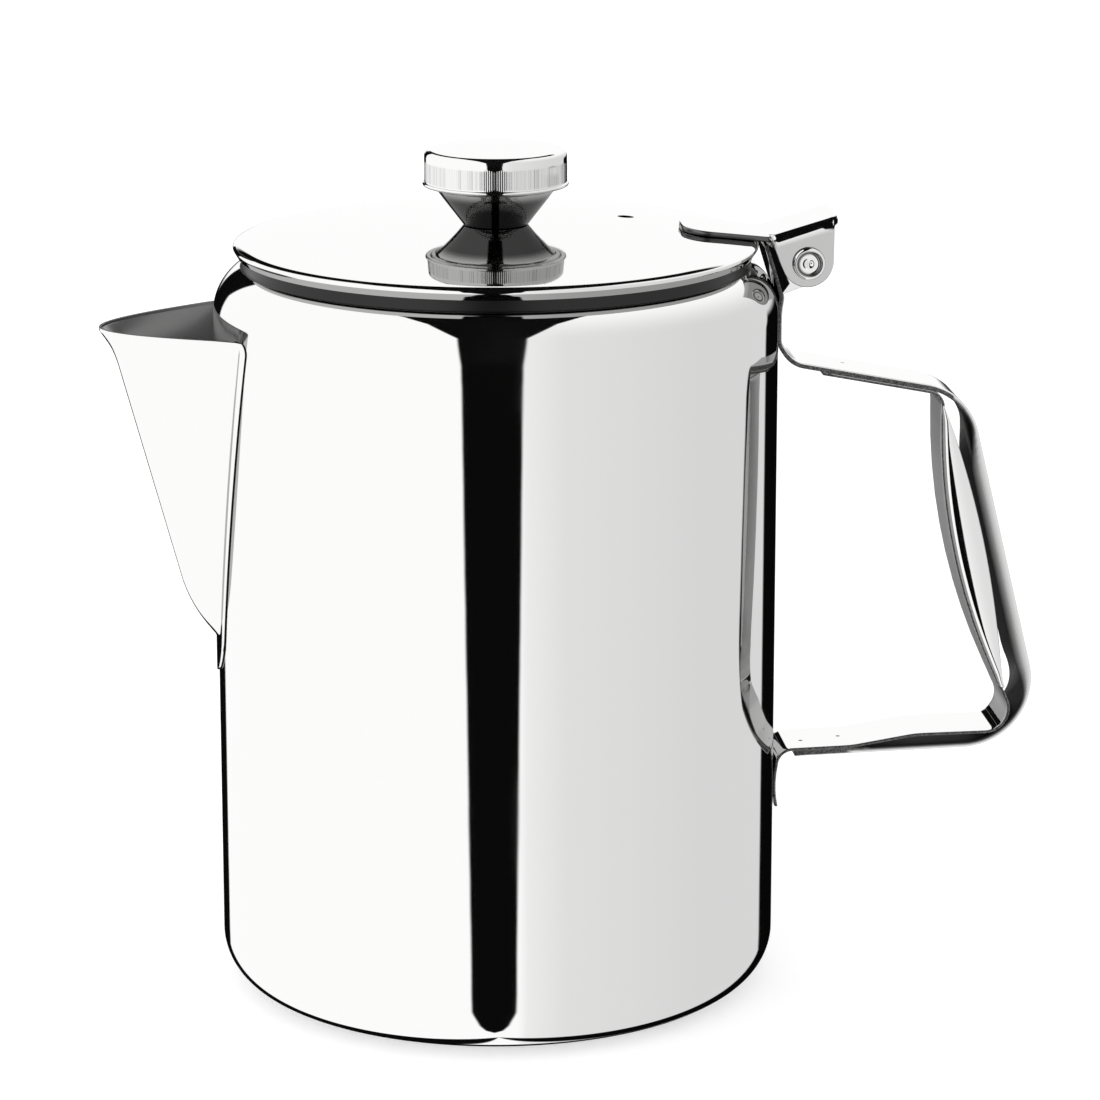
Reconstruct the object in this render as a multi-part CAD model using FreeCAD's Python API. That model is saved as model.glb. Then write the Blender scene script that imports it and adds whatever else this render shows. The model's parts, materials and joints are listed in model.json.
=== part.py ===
import FreeCAD, Part
import os
from math import acos, asin, atan2, cos, hypot, radians, sin, sqrt, tan

# Coffee pot of polished sheet steel: drawn body, folded spout, two-strap handle, hinged lid with a knob.
# Frame: origin at the centre of the base, +Z up, handle towards +X, spout towards -X.

# Body
body_radius = 64.0
body_wall = 0.8
base_corner_radius = 11.5
shoulder_start = 157.0
shoulder_radius = 12.0
neck_step = 6.5
neck_height = 4.2

# Pour holes through the wall behind the spout
pour_hole_radius = 2.5
pour_hole_spacing = 8.0
pour_hole_columns = 3
pour_hole_rows = 6
pour_hole_drop = 4.5

# Spout
spout_wall = 0.8
spout_tip_projection = 25.7
spout_tip_height = 154.7
spout_rim_rise = 0.8
rim_nose_radius = 9.0
keel_nose_radius = 6.0
lip_flare = 1.7
lip_depth = 9.0
lip_steps = 4
keel_end_projection = 8.4
keel_end_height = 96.5
keel_curve_radius = 32.0
spout_foot_drop = 13.3
spout_foot_steps = 6
flange_thickness = 0.8
flange_width = 2.2
flange_top_half_width = 28.6
flange_taper = 0.233
flange_foot_drop = 22.1
flange_corner_radius = 3.0

# Handle
strap_width = 16.0
outer_strap_thickness = 1.2
inner_strap_thickness = 0.7
weld_gap = 0.05
wall_gap = 0.05
strap_wrap = 0.4
collar_lean_height = 11.3
collar_top_drop = 0.07
collar_lean = 3.45
top_arm_height = 144.92
top_arm_drop = 0.191
grip_top_projection = 43.29
grip_slant = 0.2413
lower_arm_height = 52.0
lower_arm_rise = 0.0266
collar_bend_radius = 8.0
arm_bend_radius = 6.6
upper_corner_radius = 14.4
lower_corner_radius = 15.4
outer_strap_end_gap = 4.6
inner_strap_start_gap = 10.0
grip_depth = 5.44
inner_corner_radius = 3.8
inner_elbow_height = 98.85
inner_web_top_gap = 5.72
inner_heel_radius = 5.4
inner_heel_inset = 4.98
inner_heel_height = 56.2
inner_step_high_gap = 33.0
inner_step_low_gap = 18.0
inner_step_rise = 2.0
inner_step_radius = 25.0
tail_bend_radius = 3.7
tail_bottom = 39.5
fold_depth = 7.0
fold_top_height = 134.0
fold_bottom_height = 66.0

# Hinge
pin_projection = 6.0
pin_drop = 3.97
pin_radius = 2.0
pin_running_clearance = 0.05
pin_seat_clearance = 0.02
pin_head_radius = 3.7
pin_head_height = 1.1
cheek_radius = 5.0
ear_gap = 0.3
ear_radius = 5.9
bracket_thickness = 1.2
bracket_strip_half_width = 8.6
bracket_strip_reach = 28.0
bracket_end_radius = 6.0
bracket_bend_offset = 9.0
bracket_bend_radius = 3.0
thumb_plate_length = 6.6
thumb_plate_rise = 0.292
thumb_corner_radius = 3.0
ear_front = 5.3

# Lid
lid_overhang = 1.8
lid_wall = 0.8
lid_edge_height = 2.9
lid_edge_radius = 1.0
lid_dome_rise = 3.6
lid_seat_gap = 0.3
vent_hole_radius = 1.9
vent_hole_x = 31.0
vent_hole_y = 13.0

# Knob
knob_radius = 16.1
knob_lip_radius = 16.5
knob_lip_height = 0.9
knob_height = 17.5
knob_top_radius = 2.6
knob_crown = 0.4
knob_wall = 0.8
knob_skirt_height = 8.6
neck_foot_radius = 7.3
cone_top_radius = 13.9
cone_height = 8.6
cone_rim_width = 1.2
insert_radius = 3.6
insert_height = 6.5
screw_radius = 2.0
screw_clearance = 0.2
thread_clearance = 0.02
screw_length = 9.0
screw_head_radius = 3.8
screw_head_height = 2.4
washer_radius = 6.0
washer_thickness = 0.8
seat_gap = 0.03


def point(x, z):
    """Point in the XZ plane."""
    return FreeCAD.Vector(x, 0, z)


def save(shape, name):
    """Write one node, cleaned of split faces."""
    shape.removeSplitter().exportStep("parts/" + name + ".step")


def segment(a, b):
    """Straight edge between two points."""
    return Part.LineSegment(a, b).toShape()


def arc_about(centre, radius, start, end):
    """Arc in the XZ plane about a centre, from one angle to another, in degrees."""
    middle = (start + end) / 2
    angles = [radians(a) for a in (start, middle, end)]
    points = [centre + point(radius * cos(a), radius * sin(a)) for a in angles]
    return Part.Arc(*points).toShape()


def turned(edges):
    """Solid of revolution about Z from a closed outline in the XZ plane."""
    return Part.Face(Part.Wire(edges)).revolve(FreeCAD.Vector(), FreeCAD.Vector(0, 0, 1), 360)


def tube(radius_out, radius_in, bottom, top):
    """Upright round sleeve on the Z axis."""
    outer = Part.makeCylinder(radius_out, top - bottom, FreeCAD.Vector(0, 0, bottom))
    return outer.cut(Part.makeCylinder(radius_in, top - bottom, FreeCAD.Vector(0, 0, bottom)))


def plate(face, low_y, high_y):
    """Outline in the XZ plane made into a plate between two Y planes."""
    solid = face.extrude(FreeCAD.Vector(0, high_y - low_y, 0))
    solid.translate(FreeCAD.Vector(0, low_y, 0))
    return solid


def cross_rod(radius, half_length, x, z):
    """Round rod along Y, centred on Y = 0."""
    start = FreeCAD.Vector(x, -half_length, z)
    return Part.makeCylinder(radius, 2 * half_length, start, FreeCAD.Vector(0, 1, 0))


def shifted_line(points, distance):
    """Corner points of a bent line moved sideways, to the left of its run."""
    normals = []
    for a, b in zip(points, points[1:]):
        run = (b - a).normalize()
        normals.append(point(-run.z, run.x))
    moved = [points[0] + normals[0] * distance]
    for corner, before, after in zip(points[1:], normals, normals[1:]):
        moved.append(corner + (before + after) * (distance / (1 + before.dot(after))))
    moved.append(points[-1] + normals[-1] * distance)
    return moved


def rounded_line(points, radii):
    """Edges of a bent line whose inner corners are arcs."""
    edges = []
    start = points[0]
    for before, corner, after, radius in zip(points, points[1:], points[2:], radii):
        back = (before - corner).normalize()
        ahead = (after - corner).normalize()
        half = acos(back.dot(ahead)) / 2
        first = corner + back * (radius / tan(half))
        last = corner + ahead * (radius / tan(half))
        bisector = (back + ahead).normalize()
        middle = corner + bisector * (radius / sin(half) - radius)
        edges.append(segment(start, first))
        edges.append(Part.Arc(first, middle, last).toShape())
        start = last
    edges.append(segment(start, points[-1]))
    return edges


def bent_face(points, radii, thickness):
    """Side outline of a strip of one thickness along a bent middle line."""
    turns = []
    for before, corner, after in zip(points, points[1:], points[2:]):
        back, ahead = corner - before, after - corner
        turns.append(1 if back.x * ahead.z - back.z * ahead.x > 0 else -1)
    sides = []
    for distance in (thickness / 2, -thickness / 2):
        line = shifted_line(points, distance)
        sides.append((line, [r - t * distance for r, t in zip(radii, turns)]))
    edges = [edge for line, bends in sides for edge in rounded_line(line, bends)]
    edges.append(segment(sides[0][0][0], sides[1][0][0]))
    edges.append(segment(sides[0][0][-1], sides[1][0][-1]))
    return Part.Face(Part.Wire(Part.__sortEdges__(edges)))


def tangent_hull(centre, radius, corners):
    """Face bounded by straight lines through the corners and the far side of a circle.

    The first and last corners are joined to the circle by tangents.
    """
    ends = []
    for corner, side in ((corners[0], 1), (corners[-1], -1)):
        way = corner - centre
        swing = side * acos(radius / way.Length)
        angle = atan2(way.z, way.x) + swing
        ends.append((angle, centre + point(radius * cos(angle), radius * sin(angle))))
    first, last = ends
    sweep = (last[0] - first[0]) % radians(360)
    middle = first[0] + sweep / 2
    far = centre + point(radius * cos(middle), radius * sin(middle))
    edges = [Part.Arc(first[1], far, last[1]).toShape(), segment(last[1], corners[-1])]
    edges += [segment(a, b) for a, b in zip(corners[::-1], corners[-2::-1])]
    edges.append(segment(corners[0], first[1]))
    return Part.Face(Part.Wire(edges))


neck_radius = body_radius - neck_step
lid_radius = neck_radius + lid_overhang
shoulder_centre = point(body_radius - shoulder_radius, shoulder_start)
neck_foot_angle = acos((neck_radius - shoulder_centre.x) / shoulder_radius)
neck_top = shoulder_start + shoulder_radius * sin(neck_foot_angle) + neck_height
lid_underside = neck_top + lid_seat_gap
lid_edge_top = lid_underside + lid_wall
lid_edge_foot = lid_edge_top - lid_edge_height
dome_radius = ((lid_radius - lid_edge_radius) ** 2 + lid_dome_rise ** 2) / (2 * lid_dome_rise)
lid_crown = lid_edge_top + lid_dome_rise
pin_reach = body_radius + pin_projection
pin_height = neck_top - pin_drop
pin_centre = point(pin_reach, pin_height)
collar_top = neck_top - collar_top_drop
collar_lean_bottom = collar_top - collar_lean_height
spout_tip_reach = body_radius + spout_tip_projection
keel_end_reach = body_radius + keel_end_projection
spout_foot_height = keel_end_height - spout_foot_drop
flange_foot_height = keel_end_height - flange_foot_drop
pour_hole_bottom = keel_end_height - pour_hole_drop
grip_top_reach = body_radius + grip_top_projection
inner_web_reach = grip_top_reach - grip_depth
outer_strap_end_reach = body_radius + outer_strap_end_gap
inner_strap_start_reach = body_radius + inner_strap_start_gap
inner_step_high = body_radius + inner_step_high_gap
inner_step_low = body_radius + inner_step_low_gap
bracket_strip_end = pin_reach - bracket_strip_reach
bracket_bend_reach = pin_reach - bracket_bend_offset
thumb_plate_end = pin_reach + thumb_plate_length
ear_front_reach = pin_reach + ear_front


def dome_height(radius):
    """Height of the lid's upper face at a distance from the axis."""
    return lid_crown - dome_radius + sqrt(dome_radius ** 2 - radius ** 2)


def body_outline(inset):
    """Edges of the body's wall from the axis at the base to the mouth, moved inwards by the inset."""
    radius = body_radius - inset
    corner = base_corner_radius - inset
    bend = shoulder_radius - inset
    neck = neck_radius - inset
    foot = acos((neck - shoulder_centre.x) / bend)
    corner_centre = point(body_radius - base_corner_radius, base_corner_radius)
    neck_foot = shoulder_centre + point(bend * cos(foot), bend * sin(foot))
    return [
        segment(point(0, inset), point(corner_centre.x, inset)),
        arc_about(corner_centre, corner, -90, 0),
        segment(point(radius, base_corner_radius), point(radius, shoulder_start)),
        Part.Arc(
            point(radius, shoulder_start),
            shoulder_centre + point(bend * cos(foot / 2), bend * sin(foot / 2)),
            neck_foot,
        ).toShape(),
        segment(neck_foot, point(neck, neck_top)),
    ]


def body_core(gap):
    """Solid that fills the body and reaches a gap beyond its wall."""
    edges = body_outline(-gap)
    edges.append(segment(point(neck_radius + gap, neck_top), point(0, neck_top)))
    edges.append(segment(point(0, neck_top), point(0, -gap)))
    return turned(edges)


def make_body():
    """Drawn pot with the pour holes behind the spout."""
    edges = body_outline(0) + body_outline(body_wall)
    edges.append(segment(point(neck_radius, neck_top), point(neck_radius - body_wall, neck_top)))
    edges.append(segment(point(0, 0), point(0, body_wall)))
    shell = turned(Part.__sortEdges__(edges))
    for row in range(pour_hole_rows):
        columns = pour_hole_columns - row % 2
        for column in range(columns):
            y = (column - (columns - 1) / 2) * pour_hole_spacing
            z = pour_hole_bottom + row * pour_hole_spacing
            start = FreeCAD.Vector(-body_radius - body_wall, y, z)
            drill = Part.makeCylinder(pour_hole_radius, body_radius / 2, start, FreeCAD.Vector(1, 0, 0))
            shell = shell.cut(drill)
    return shell


keel_slope = (spout_tip_reach - lip_flare - keel_end_reach) / (spout_tip_height - keel_end_height)
rim_slope = spout_rim_rise / (spout_tip_reach - body_radius)
flange_top = spout_tip_height + spout_rim_rise
wall_reach = body_radius + wall_gap


def keel_reach(height):
    """Reach of the spout's front fold: curved foot, straight keel, then a lip flared out to the rim."""
    if height >= keel_end_height:
        flare = max(0, 1 + (height - spout_tip_height) / lip_depth)
        return keel_end_reach + keel_slope * (height - keel_end_height) + lip_flare * flare ** 2
    lean = hypot(1, keel_slope)
    centre_x = keel_end_reach - keel_curve_radius / lean
    centre_z = keel_end_height + keel_curve_radius * keel_slope / lean
    return centre_x + sqrt(keel_curve_radius ** 2 - (centre_z - height) ** 2)


def nose_radius(height):
    """Radius of the spout's front fold at a height, wider towards the rim."""
    share = max(0, (height - keel_end_height) / (spout_tip_height - keel_end_height))
    return keel_nose_radius + (rim_nose_radius - keel_nose_radius) * share


def flange_half_width(height):
    """Half of the flange's width across the wall at a height."""
    return flange_top_half_width - flange_taper * (flange_top - height)


def spout_section(height, inset):
    """Level outline of the spout: two flat sides tangent to a round nose, closed inside the body."""
    half = flange_half_width(height) - flange_width
    radius = nose_radius(height)
    side = FreeCAD.Vector(-sqrt(body_radius ** 2 - half ** 2), half, 0)
    nose = FreeCAD.Vector(radius - keel_reach(height), 0, 0)
    way = side - nose
    angle = atan2(way.y, way.x) + acos(radius / way.Length)
    normal = FreeCAD.Vector(cos(angle), sin(angle), 0)
    touch = nose + normal * (radius - inset)
    back = side - normal * inset
    inner = FreeCAD.Vector(-body_radius / 2, back.y, 0)
    tip = nose - FreeCAD.Vector(radius - inset, 0, 0)
    near = [inner, back, touch]
    far = [FreeCAD.Vector(p.x, -p.y, 0) for p in reversed(near)]
    edges = [segment(a, b) for a, b in zip(near, near[1:])]
    edges.append(Part.Arc(touch, tip, far[0]).toShape())
    edges += [segment(a, b) for a, b in zip(far, far[1:] + near[:1])]
    wire = Part.Wire(edges)
    wire.translate(FreeCAD.Vector(0, 0, height))
    return wire


def spout_form(inset, top):
    """Solid inside the spout's sides, from the curved foot up past the flared lip."""
    drop = (keel_end_height - spout_foot_height) / spout_foot_steps
    heights = [spout_foot_height + drop * step for step in range(spout_foot_steps + 1)]
    lip_start = spout_tip_height - lip_depth
    rise = (top - lip_start) / lip_steps
    heights += [lip_start + rise * step for step in range(lip_steps + 1)]
    return Part.makeLoft([spout_section(z, inset) for z in heights], True, True)


def spout_flange():
    """Thin tongue of sheet that hugs the wall around the spout."""
    lean = hypot(1, flange_taper)
    slope = flange_taper / lean
    reach = flange_half_width(flange_foot_height)
    foot_radius = reach / (lean - flange_taper)
    centre = FreeCAD.Vector(0, 0, flange_foot_height + foot_radius)
    touch = centre + FreeCAD.Vector(0, foot_radius / lean, -foot_radius * slope)
    top = FreeCAD.Vector(0, flange_half_width(flange_top), flange_top)
    other_touch, other_top = [FreeCAD.Vector(0, -p.y, p.z) for p in (touch, top)]
    edges = [
        Part.Arc(touch, FreeCAD.Vector(0, 0, flange_foot_height), other_touch).toShape(),
        segment(other_touch, other_top),
        segment(other_top, top),
        segment(top, touch),
    ]
    tongue = Part.Face(Part.Wire(edges)).extrude(FreeCAD.Vector(-2 * body_radius, 0, 0))
    upright = [e for e in tongue.Edges if abs(e.BoundBox.ZMin - flange_top) < 1e-6 and e.BoundBox.XLength > 1]
    tongue = tongue.makeFillet(flange_corner_radius, upright)
    skin = tube(wall_reach + flange_thickness, wall_reach, flange_foot_height - 1, flange_top + 1)
    return tongue.common(skin)


def make_spout():
    """Folded spout, open at the top, with its weld flange."""
    above = 2 * spout_rim_rise
    outer = spout_form(0, flange_top + above)
    inner = spout_form(spout_wall, flange_top + above)
    tip = point(-2 * spout_tip_reach, spout_tip_height - rim_slope * spout_tip_reach)
    back = point(0, spout_tip_height + rim_slope * spout_tip_reach)
    lift = point(0, body_radius)
    corners = [tip, back, back + lift, tip + lift]
    outline = [segment(a, b) for a, b in zip(corners, corners[1:] + corners[:1])]
    trim = plate(Part.Face(Part.Wire(outline)), -body_radius, body_radius)
    return outer.fuse(spout_flange()).cut(inner).cut(body_core(wall_gap)).cut(trim)


outer_middle = wall_reach - strap_wrap + outer_strap_thickness / 2
inner_middle = wall_reach + inner_strap_thickness / 2
arm_lean = hypot(1, top_arm_drop)
lower_lean = hypot(1, lower_arm_rise)
strap_pitch = (outer_strap_thickness + inner_strap_thickness) / 2 + weld_gap


def top_arm_line(x, below):
    """Height of a line along the top arm, a distance below the outer strap's middle."""
    return top_arm_height - top_arm_drop * (x - outer_middle) - below * arm_lean


def lower_arm_line(x, above):
    """Height of a line along the lower arm, a distance above the outer strap's middle."""
    return lower_arm_height + lower_arm_rise * (x - outer_middle) + above * lower_lean


grip_top_height = top_arm_line(grip_top_reach, 0)
inner_heel_reach = grip_top_reach + grip_slant * (grip_top_height - inner_heel_height) - inner_heel_inset
inner_web_turn = atan2(inner_heel_reach - inner_web_reach, inner_elbow_height - inner_heel_height)
inner_web_start_height = top_arm_line(inner_web_reach, strap_pitch) - inner_web_top_gap
inner_web_radius = (inner_web_start_height - inner_elbow_height) / tan(inner_web_turn / 2)


def make_outer_strap():
    """Strap from the hinge cheeks down the wall, round the outside of the grip to under the lower arm."""
    upper = point(grip_top_reach, grip_top_height)
    floor = lower_arm_line(grip_top_reach, 0)
    drop = (upper.z - floor) / (1 + grip_slant * lower_arm_rise)
    lower_x = grip_top_reach + grip_slant * drop
    line = [
        point(outer_middle - collar_lean, collar_top),
        point(outer_middle, collar_lean_bottom),
        point(outer_middle, top_arm_height),
        upper,
        point(lower_x, lower_arm_line(lower_x, 0)),
        point(outer_strap_end_reach, lower_arm_line(outer_strap_end_reach, 0)),
    ]
    radii = [collar_bend_radius, arm_bend_radius, upper_corner_radius, lower_corner_radius]
    half = strap_width / 2
    strap = plate(bent_face(line, radii, outer_strap_thickness), -half, half)
    cheek = tangent_hull(pin_centre, cheek_radius, [line[1], line[0]])
    for low in (-half, half - outer_strap_thickness):
        strap = strap.fuse(plate(cheek, low, low + outer_strap_thickness))
    strap = strap.cut(body_core(wall_gap))
    return strap.cut(cross_rod(pin_radius + pin_running_clearance, strap_width, pin_reach, pin_height))


def inner_line():
    """Corner points and bends of the inner strap's middle line."""
    elbow = point(inner_web_reach, inner_elbow_height)
    line = [
        point(inner_strap_start_reach, top_arm_line(inner_strap_start_reach, strap_pitch)),
        point(inner_web_reach, top_arm_line(inner_web_reach, strap_pitch)),
        elbow,
        point(inner_heel_reach, inner_heel_height),
        point(inner_step_high, lower_arm_line(inner_step_high, strap_pitch) + inner_step_rise),
        point(inner_step_low, lower_arm_line(inner_step_low, strap_pitch)),
        point(inner_middle, lower_arm_line(inner_middle, strap_pitch)),
        point(inner_middle, tail_bottom),
    ]
    radii = [inner_corner_radius, inner_web_radius, inner_heel_radius, inner_step_radius]
    return line, radii + [inner_step_radius, tail_bend_radius]


def web_reach(height):
    """Reach of the inner strap's middle on the grip at a height."""
    drop = inner_web_start_height - height
    if drop <= 0:
        return inner_web_reach
    if drop >= inner_web_radius * sin(inner_web_turn):
        return inner_web_reach + (inner_elbow_height - height) * tan(inner_web_turn)
    return inner_web_reach + inner_web_radius * (1 - cos(asin(drop / inner_web_radius)))


def make_inner_strap():
    """Thin strap under the top arm, down the inside of the grip with folded edges, to its tail."""
    line, radii = inner_line()
    half = strap_width / 2
    strap = plate(bent_face(line, radii, inner_strap_thickness), -half, half)
    heights = [fold_top_height, (fold_top_height + fold_bottom_height) / 2, fold_bottom_height]
    web = [point(web_reach(z), z) for z in heights]
    chord = (web[2] - web[0]).normalize()
    edge_middle = web[1] + point(-chord.z, chord.x) * fold_depth
    fold = Part.Face(Part.Wire([
        Part.Arc(web[0], web[1], web[2]).toShape(),
        Part.Arc(web[2], edge_middle, web[0]).toShape(),
    ]))
    for low in (-half, half - inner_strap_thickness):
        strap = strap.fuse(plate(fold, low, low + inner_strap_thickness))
    return strap


ear_inner = strap_width / 2 + ear_gap
ear_outer = ear_inner + bracket_thickness
strip_contact = (bracket_strip_end + lid_radius) / 2
strip_slope = strip_contact / sqrt(dome_radius ** 2 - strip_contact ** 2)


def strip_height(x):
    """Height of the bracket's middle line where it lies on the lid."""
    face = dome_height(strip_contact) - strip_slope * (x - strip_contact)
    return face + seat_gap + bracket_thickness / 2 * hypot(1, strip_slope)


def make_bracket():
    """Strip on the lid, bent up to a thumb plate with an ear on each side."""
    bend = point(bracket_bend_reach, strip_height(bracket_bend_reach))
    end = bend + point(1, thumb_plate_rise) * (thumb_plate_end - bracket_bend_reach)
    line = [point(bracket_strip_end, strip_height(bracket_strip_end)), bend, end]
    flat = plate(bent_face(line, [bracket_bend_radius], bracket_thickness), -ear_outer, ear_outer)
    reach = thumb_plate_end - bracket_strip_end
    deep = 4 * ear_outer
    bottom = pin_height - deep / 2
    strip = Part.makeBox(reach, 2 * bracket_strip_half_width, deep,
                         FreeCAD.Vector(bracket_strip_end - 1, -bracket_strip_half_width, bottom))
    ends = [e for e in strip.Edges if e.BoundBox.ZLength > 1 and e.BoundBox.XMax < bracket_strip_end]
    strip = strip.makeFillet(bracket_end_radius, ends)
    thumb = Part.makeBox(thumb_plate_end - bracket_bend_reach, 2 * ear_outer, deep,
                         FreeCAD.Vector(bracket_bend_reach, -ear_outer, bottom))
    corners = [e for e in thumb.Edges if e.BoundBox.ZLength > 1 and e.BoundBox.XMin > bracket_bend_reach + 1]
    thumb = thumb.makeFillet(thumb_corner_radius, corners)
    bracket = flat.common(strip.fuse(thumb))
    front = bend + point(1, thumb_plate_rise) * (ear_front_reach - bracket_bend_reach)
    ear = tangent_hull(pin_centre, ear_radius, [bend, front])
    for low in (-ear_outer, ear_inner):
        bracket = bracket.fuse(plate(ear, low, low + bracket_thickness))
    return bracket.cut(cross_rod(pin_radius + pin_seat_clearance, 2 * ear_outer, pin_reach, pin_height))


def make_pin():
    """Rivet with a flat round head outside each ear."""
    pin = cross_rod(pin_radius, ear_outer + pin_head_height, pin_reach, pin_height)
    heads = cross_rod(pin_head_radius, ear_outer + pin_head_height, pin_reach, pin_height)
    return pin.fuse(heads.cut(cross_rod(pin_head_radius + 1, ear_outer, pin_reach, pin_height)))


def lid_outline(inset):
    """Edges of the lid's wall from the crown to the foot of its turned-down edge, moved in by the inset."""
    radius = dome_radius - inset
    bend = max(lid_edge_radius - inset, lid_wall / 8)
    edge_x = lid_radius - inset
    centre_z = lid_crown - dome_radius
    crown = point(0, centre_z + radius)
    touch_x = (edge_x - bend) * radius / (radius - bend)
    touch = point(touch_x, centre_z + sqrt(radius ** 2 - touch_x ** 2))
    round_z = centre_z + (touch.z - centre_z) * (radius - bend) / radius
    round_centre = point(edge_x - bend, round_z)
    tilt = asin(touch_x / radius)
    swing = (radians(90) - tilt) / 2
    bend_middle = round_centre + point(bend * cos(swing), bend * sin(swing))
    middle_x = touch_x / 2
    dome_middle = point(middle_x, centre_z + sqrt(radius ** 2 - middle_x ** 2))
    foot = point(edge_x, lid_edge_foot)
    return [
        Part.Arc(crown, dome_middle, touch).toShape(),
        Part.Arc(touch, bend_middle, point(edge_x, round_z)).toShape(),
        segment(point(edge_x, round_z), foot),
    ]


def make_lid():
    """Domed lid with a turned-down edge, a vent hole and the knob's screw hole."""
    edges = lid_outline(0) + lid_outline(lid_wall)
    edges.append(segment(point(lid_radius, lid_edge_foot), point(lid_radius - lid_wall, lid_edge_foot)))
    edges.append(segment(point(0, lid_crown), point(0, lid_crown - lid_wall)))
    lid = turned(Part.__sortEdges__(edges))
    depth = 2 * lid_edge_height + lid_dome_rise
    vent_foot = FreeCAD.Vector(vent_hole_x, vent_hole_y, lid_edge_foot)
    vent = Part.makeCylinder(vent_hole_radius, depth, vent_foot)
    hole = Part.makeCylinder(screw_radius + screw_clearance, depth, point(0, lid_edge_foot))
    return lid.cut(vent).cut(hole)


knob_foot = lid_crown + seat_gap
cone_top = knob_foot + cone_height
knob_top = knob_foot + knob_height
skirt_foot = knob_top - knob_skirt_height


def make_knob_cone():
    """Hollow cone from the lid up to the rim that the cap's lip is rolled over."""
    run = cone_top_radius - neck_foot_radius
    slant = knob_wall * hypot(run, cone_height) / cone_height
    rim = cone_top_radius + cone_rim_width
    bore = screw_radius + screw_clearance
    floor = knob_foot + knob_wall
    floor_radius = neck_foot_radius + run * knob_wall / cone_height - slant
    top_in = cone_top_radius - slant + run * knob_wall / cone_height
    corners = [
        point(bore, knob_foot),
        point(neck_foot_radius, knob_foot),
        point(cone_top_radius, cone_top),
        point(rim, cone_top),
        point(rim, cone_top + knob_wall),
        point(top_in, cone_top + knob_wall),
        point(floor_radius, floor),
        point(bore, floor),
    ]
    return turned([segment(a, b) for a, b in zip(corners, corners[1:] + corners[:1])])


def make_knob_cap():
    """Cap with a rounded top edge, a straight skirt and a rolled lip at its foot."""
    inner = cone_top_radius + cone_rim_width + seat_gap
    edge_z = knob_top - knob_crown
    touch = point(knob_radius - knob_top_radius, edge_z)
    side = point(knob_radius, edge_z - knob_top_radius)
    bend = touch + point(knob_top_radius * sin(radians(45)), -knob_top_radius * (1 - cos(radians(45))))
    roof = edge_z - knob_wall
    lip_half = knob_lip_height / 2
    outline = [
        segment(point(0, knob_top), touch) if knob_crown == 0 else
        Part.Arc(point(0, knob_top), point(touch.x / 2, knob_top - knob_crown / 4), touch).toShape(),
        Part.Arc(touch, bend, side).toShape(),
        segment(side, point(knob_radius, skirt_foot + knob_lip_height)),
        Part.Arc(
            point(knob_radius, skirt_foot + knob_lip_height),
            point(knob_lip_radius, skirt_foot + lip_half),
            point(knob_radius, skirt_foot),
        ).toShape(),
        segment(point(knob_radius, skirt_foot), point(inner, skirt_foot)),
        segment(point(inner, skirt_foot), point(inner, roof - knob_top_radius)),
        segment(point(inner, roof - knob_top_radius), point(inner - knob_top_radius, roof)),
        segment(point(inner - knob_top_radius, roof), point(0, roof)),
        segment(point(0, roof), point(0, knob_top)),
    ]
    return turned(outline)


def make_insert():
    """Threaded bush on the floor of the cone, plain bored."""
    bottom = knob_foot + knob_wall + seat_gap
    return tube(insert_radius, screw_radius + thread_clearance, bottom, bottom + insert_height)


washer_top = lid_crown - lid_wall - washer_radius ** 2 / (2 * dome_radius) - seat_gap


def make_washer():
    """Flat washer under the lid."""
    return tube(washer_radius, screw_radius + screw_clearance, washer_top - washer_thickness, washer_top)


def make_screw():
    """Screw with a round flat head under the washer."""
    seat = washer_top - washer_thickness - seat_gap
    shank = Part.makeCylinder(screw_radius, screw_length, FreeCAD.Vector(0, 0, seat))
    head_foot = FreeCAD.Vector(0, 0, seat - screw_head_height)
    head = Part.makeCylinder(screw_head_radius, screw_head_height, head_foot)
    return shank.fuse(head)


os.makedirs("parts", exist_ok=True)
save(make_body(), "body_shell")
save(make_spout(), "spout")
save(make_outer_strap(), "handle_outer_strap")
save(make_inner_strap(), "handle_inner_strap")
save(make_lid(), "lid_shell")
save(make_bracket(), "hinge_bracket")
save(make_pin(), "hinge_pin")
save(make_knob_cap(), "knob_cap")
save(make_knob_cone(), "knob_cone")
save(make_insert(), "knob_insert")
save(make_screw(), "knob_screw")
save(make_washer(), "screw_washer")
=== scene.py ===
"""Dressed scene of a polished steel coffee pot: sheet pieces around the CAD frame, and a studio."""
import json
import logging
import math
from dataclasses import dataclass, field
from enum import Enum

import bmesh
import bpy
import numpy as np
from mathutils import Matrix, Vector

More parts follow.
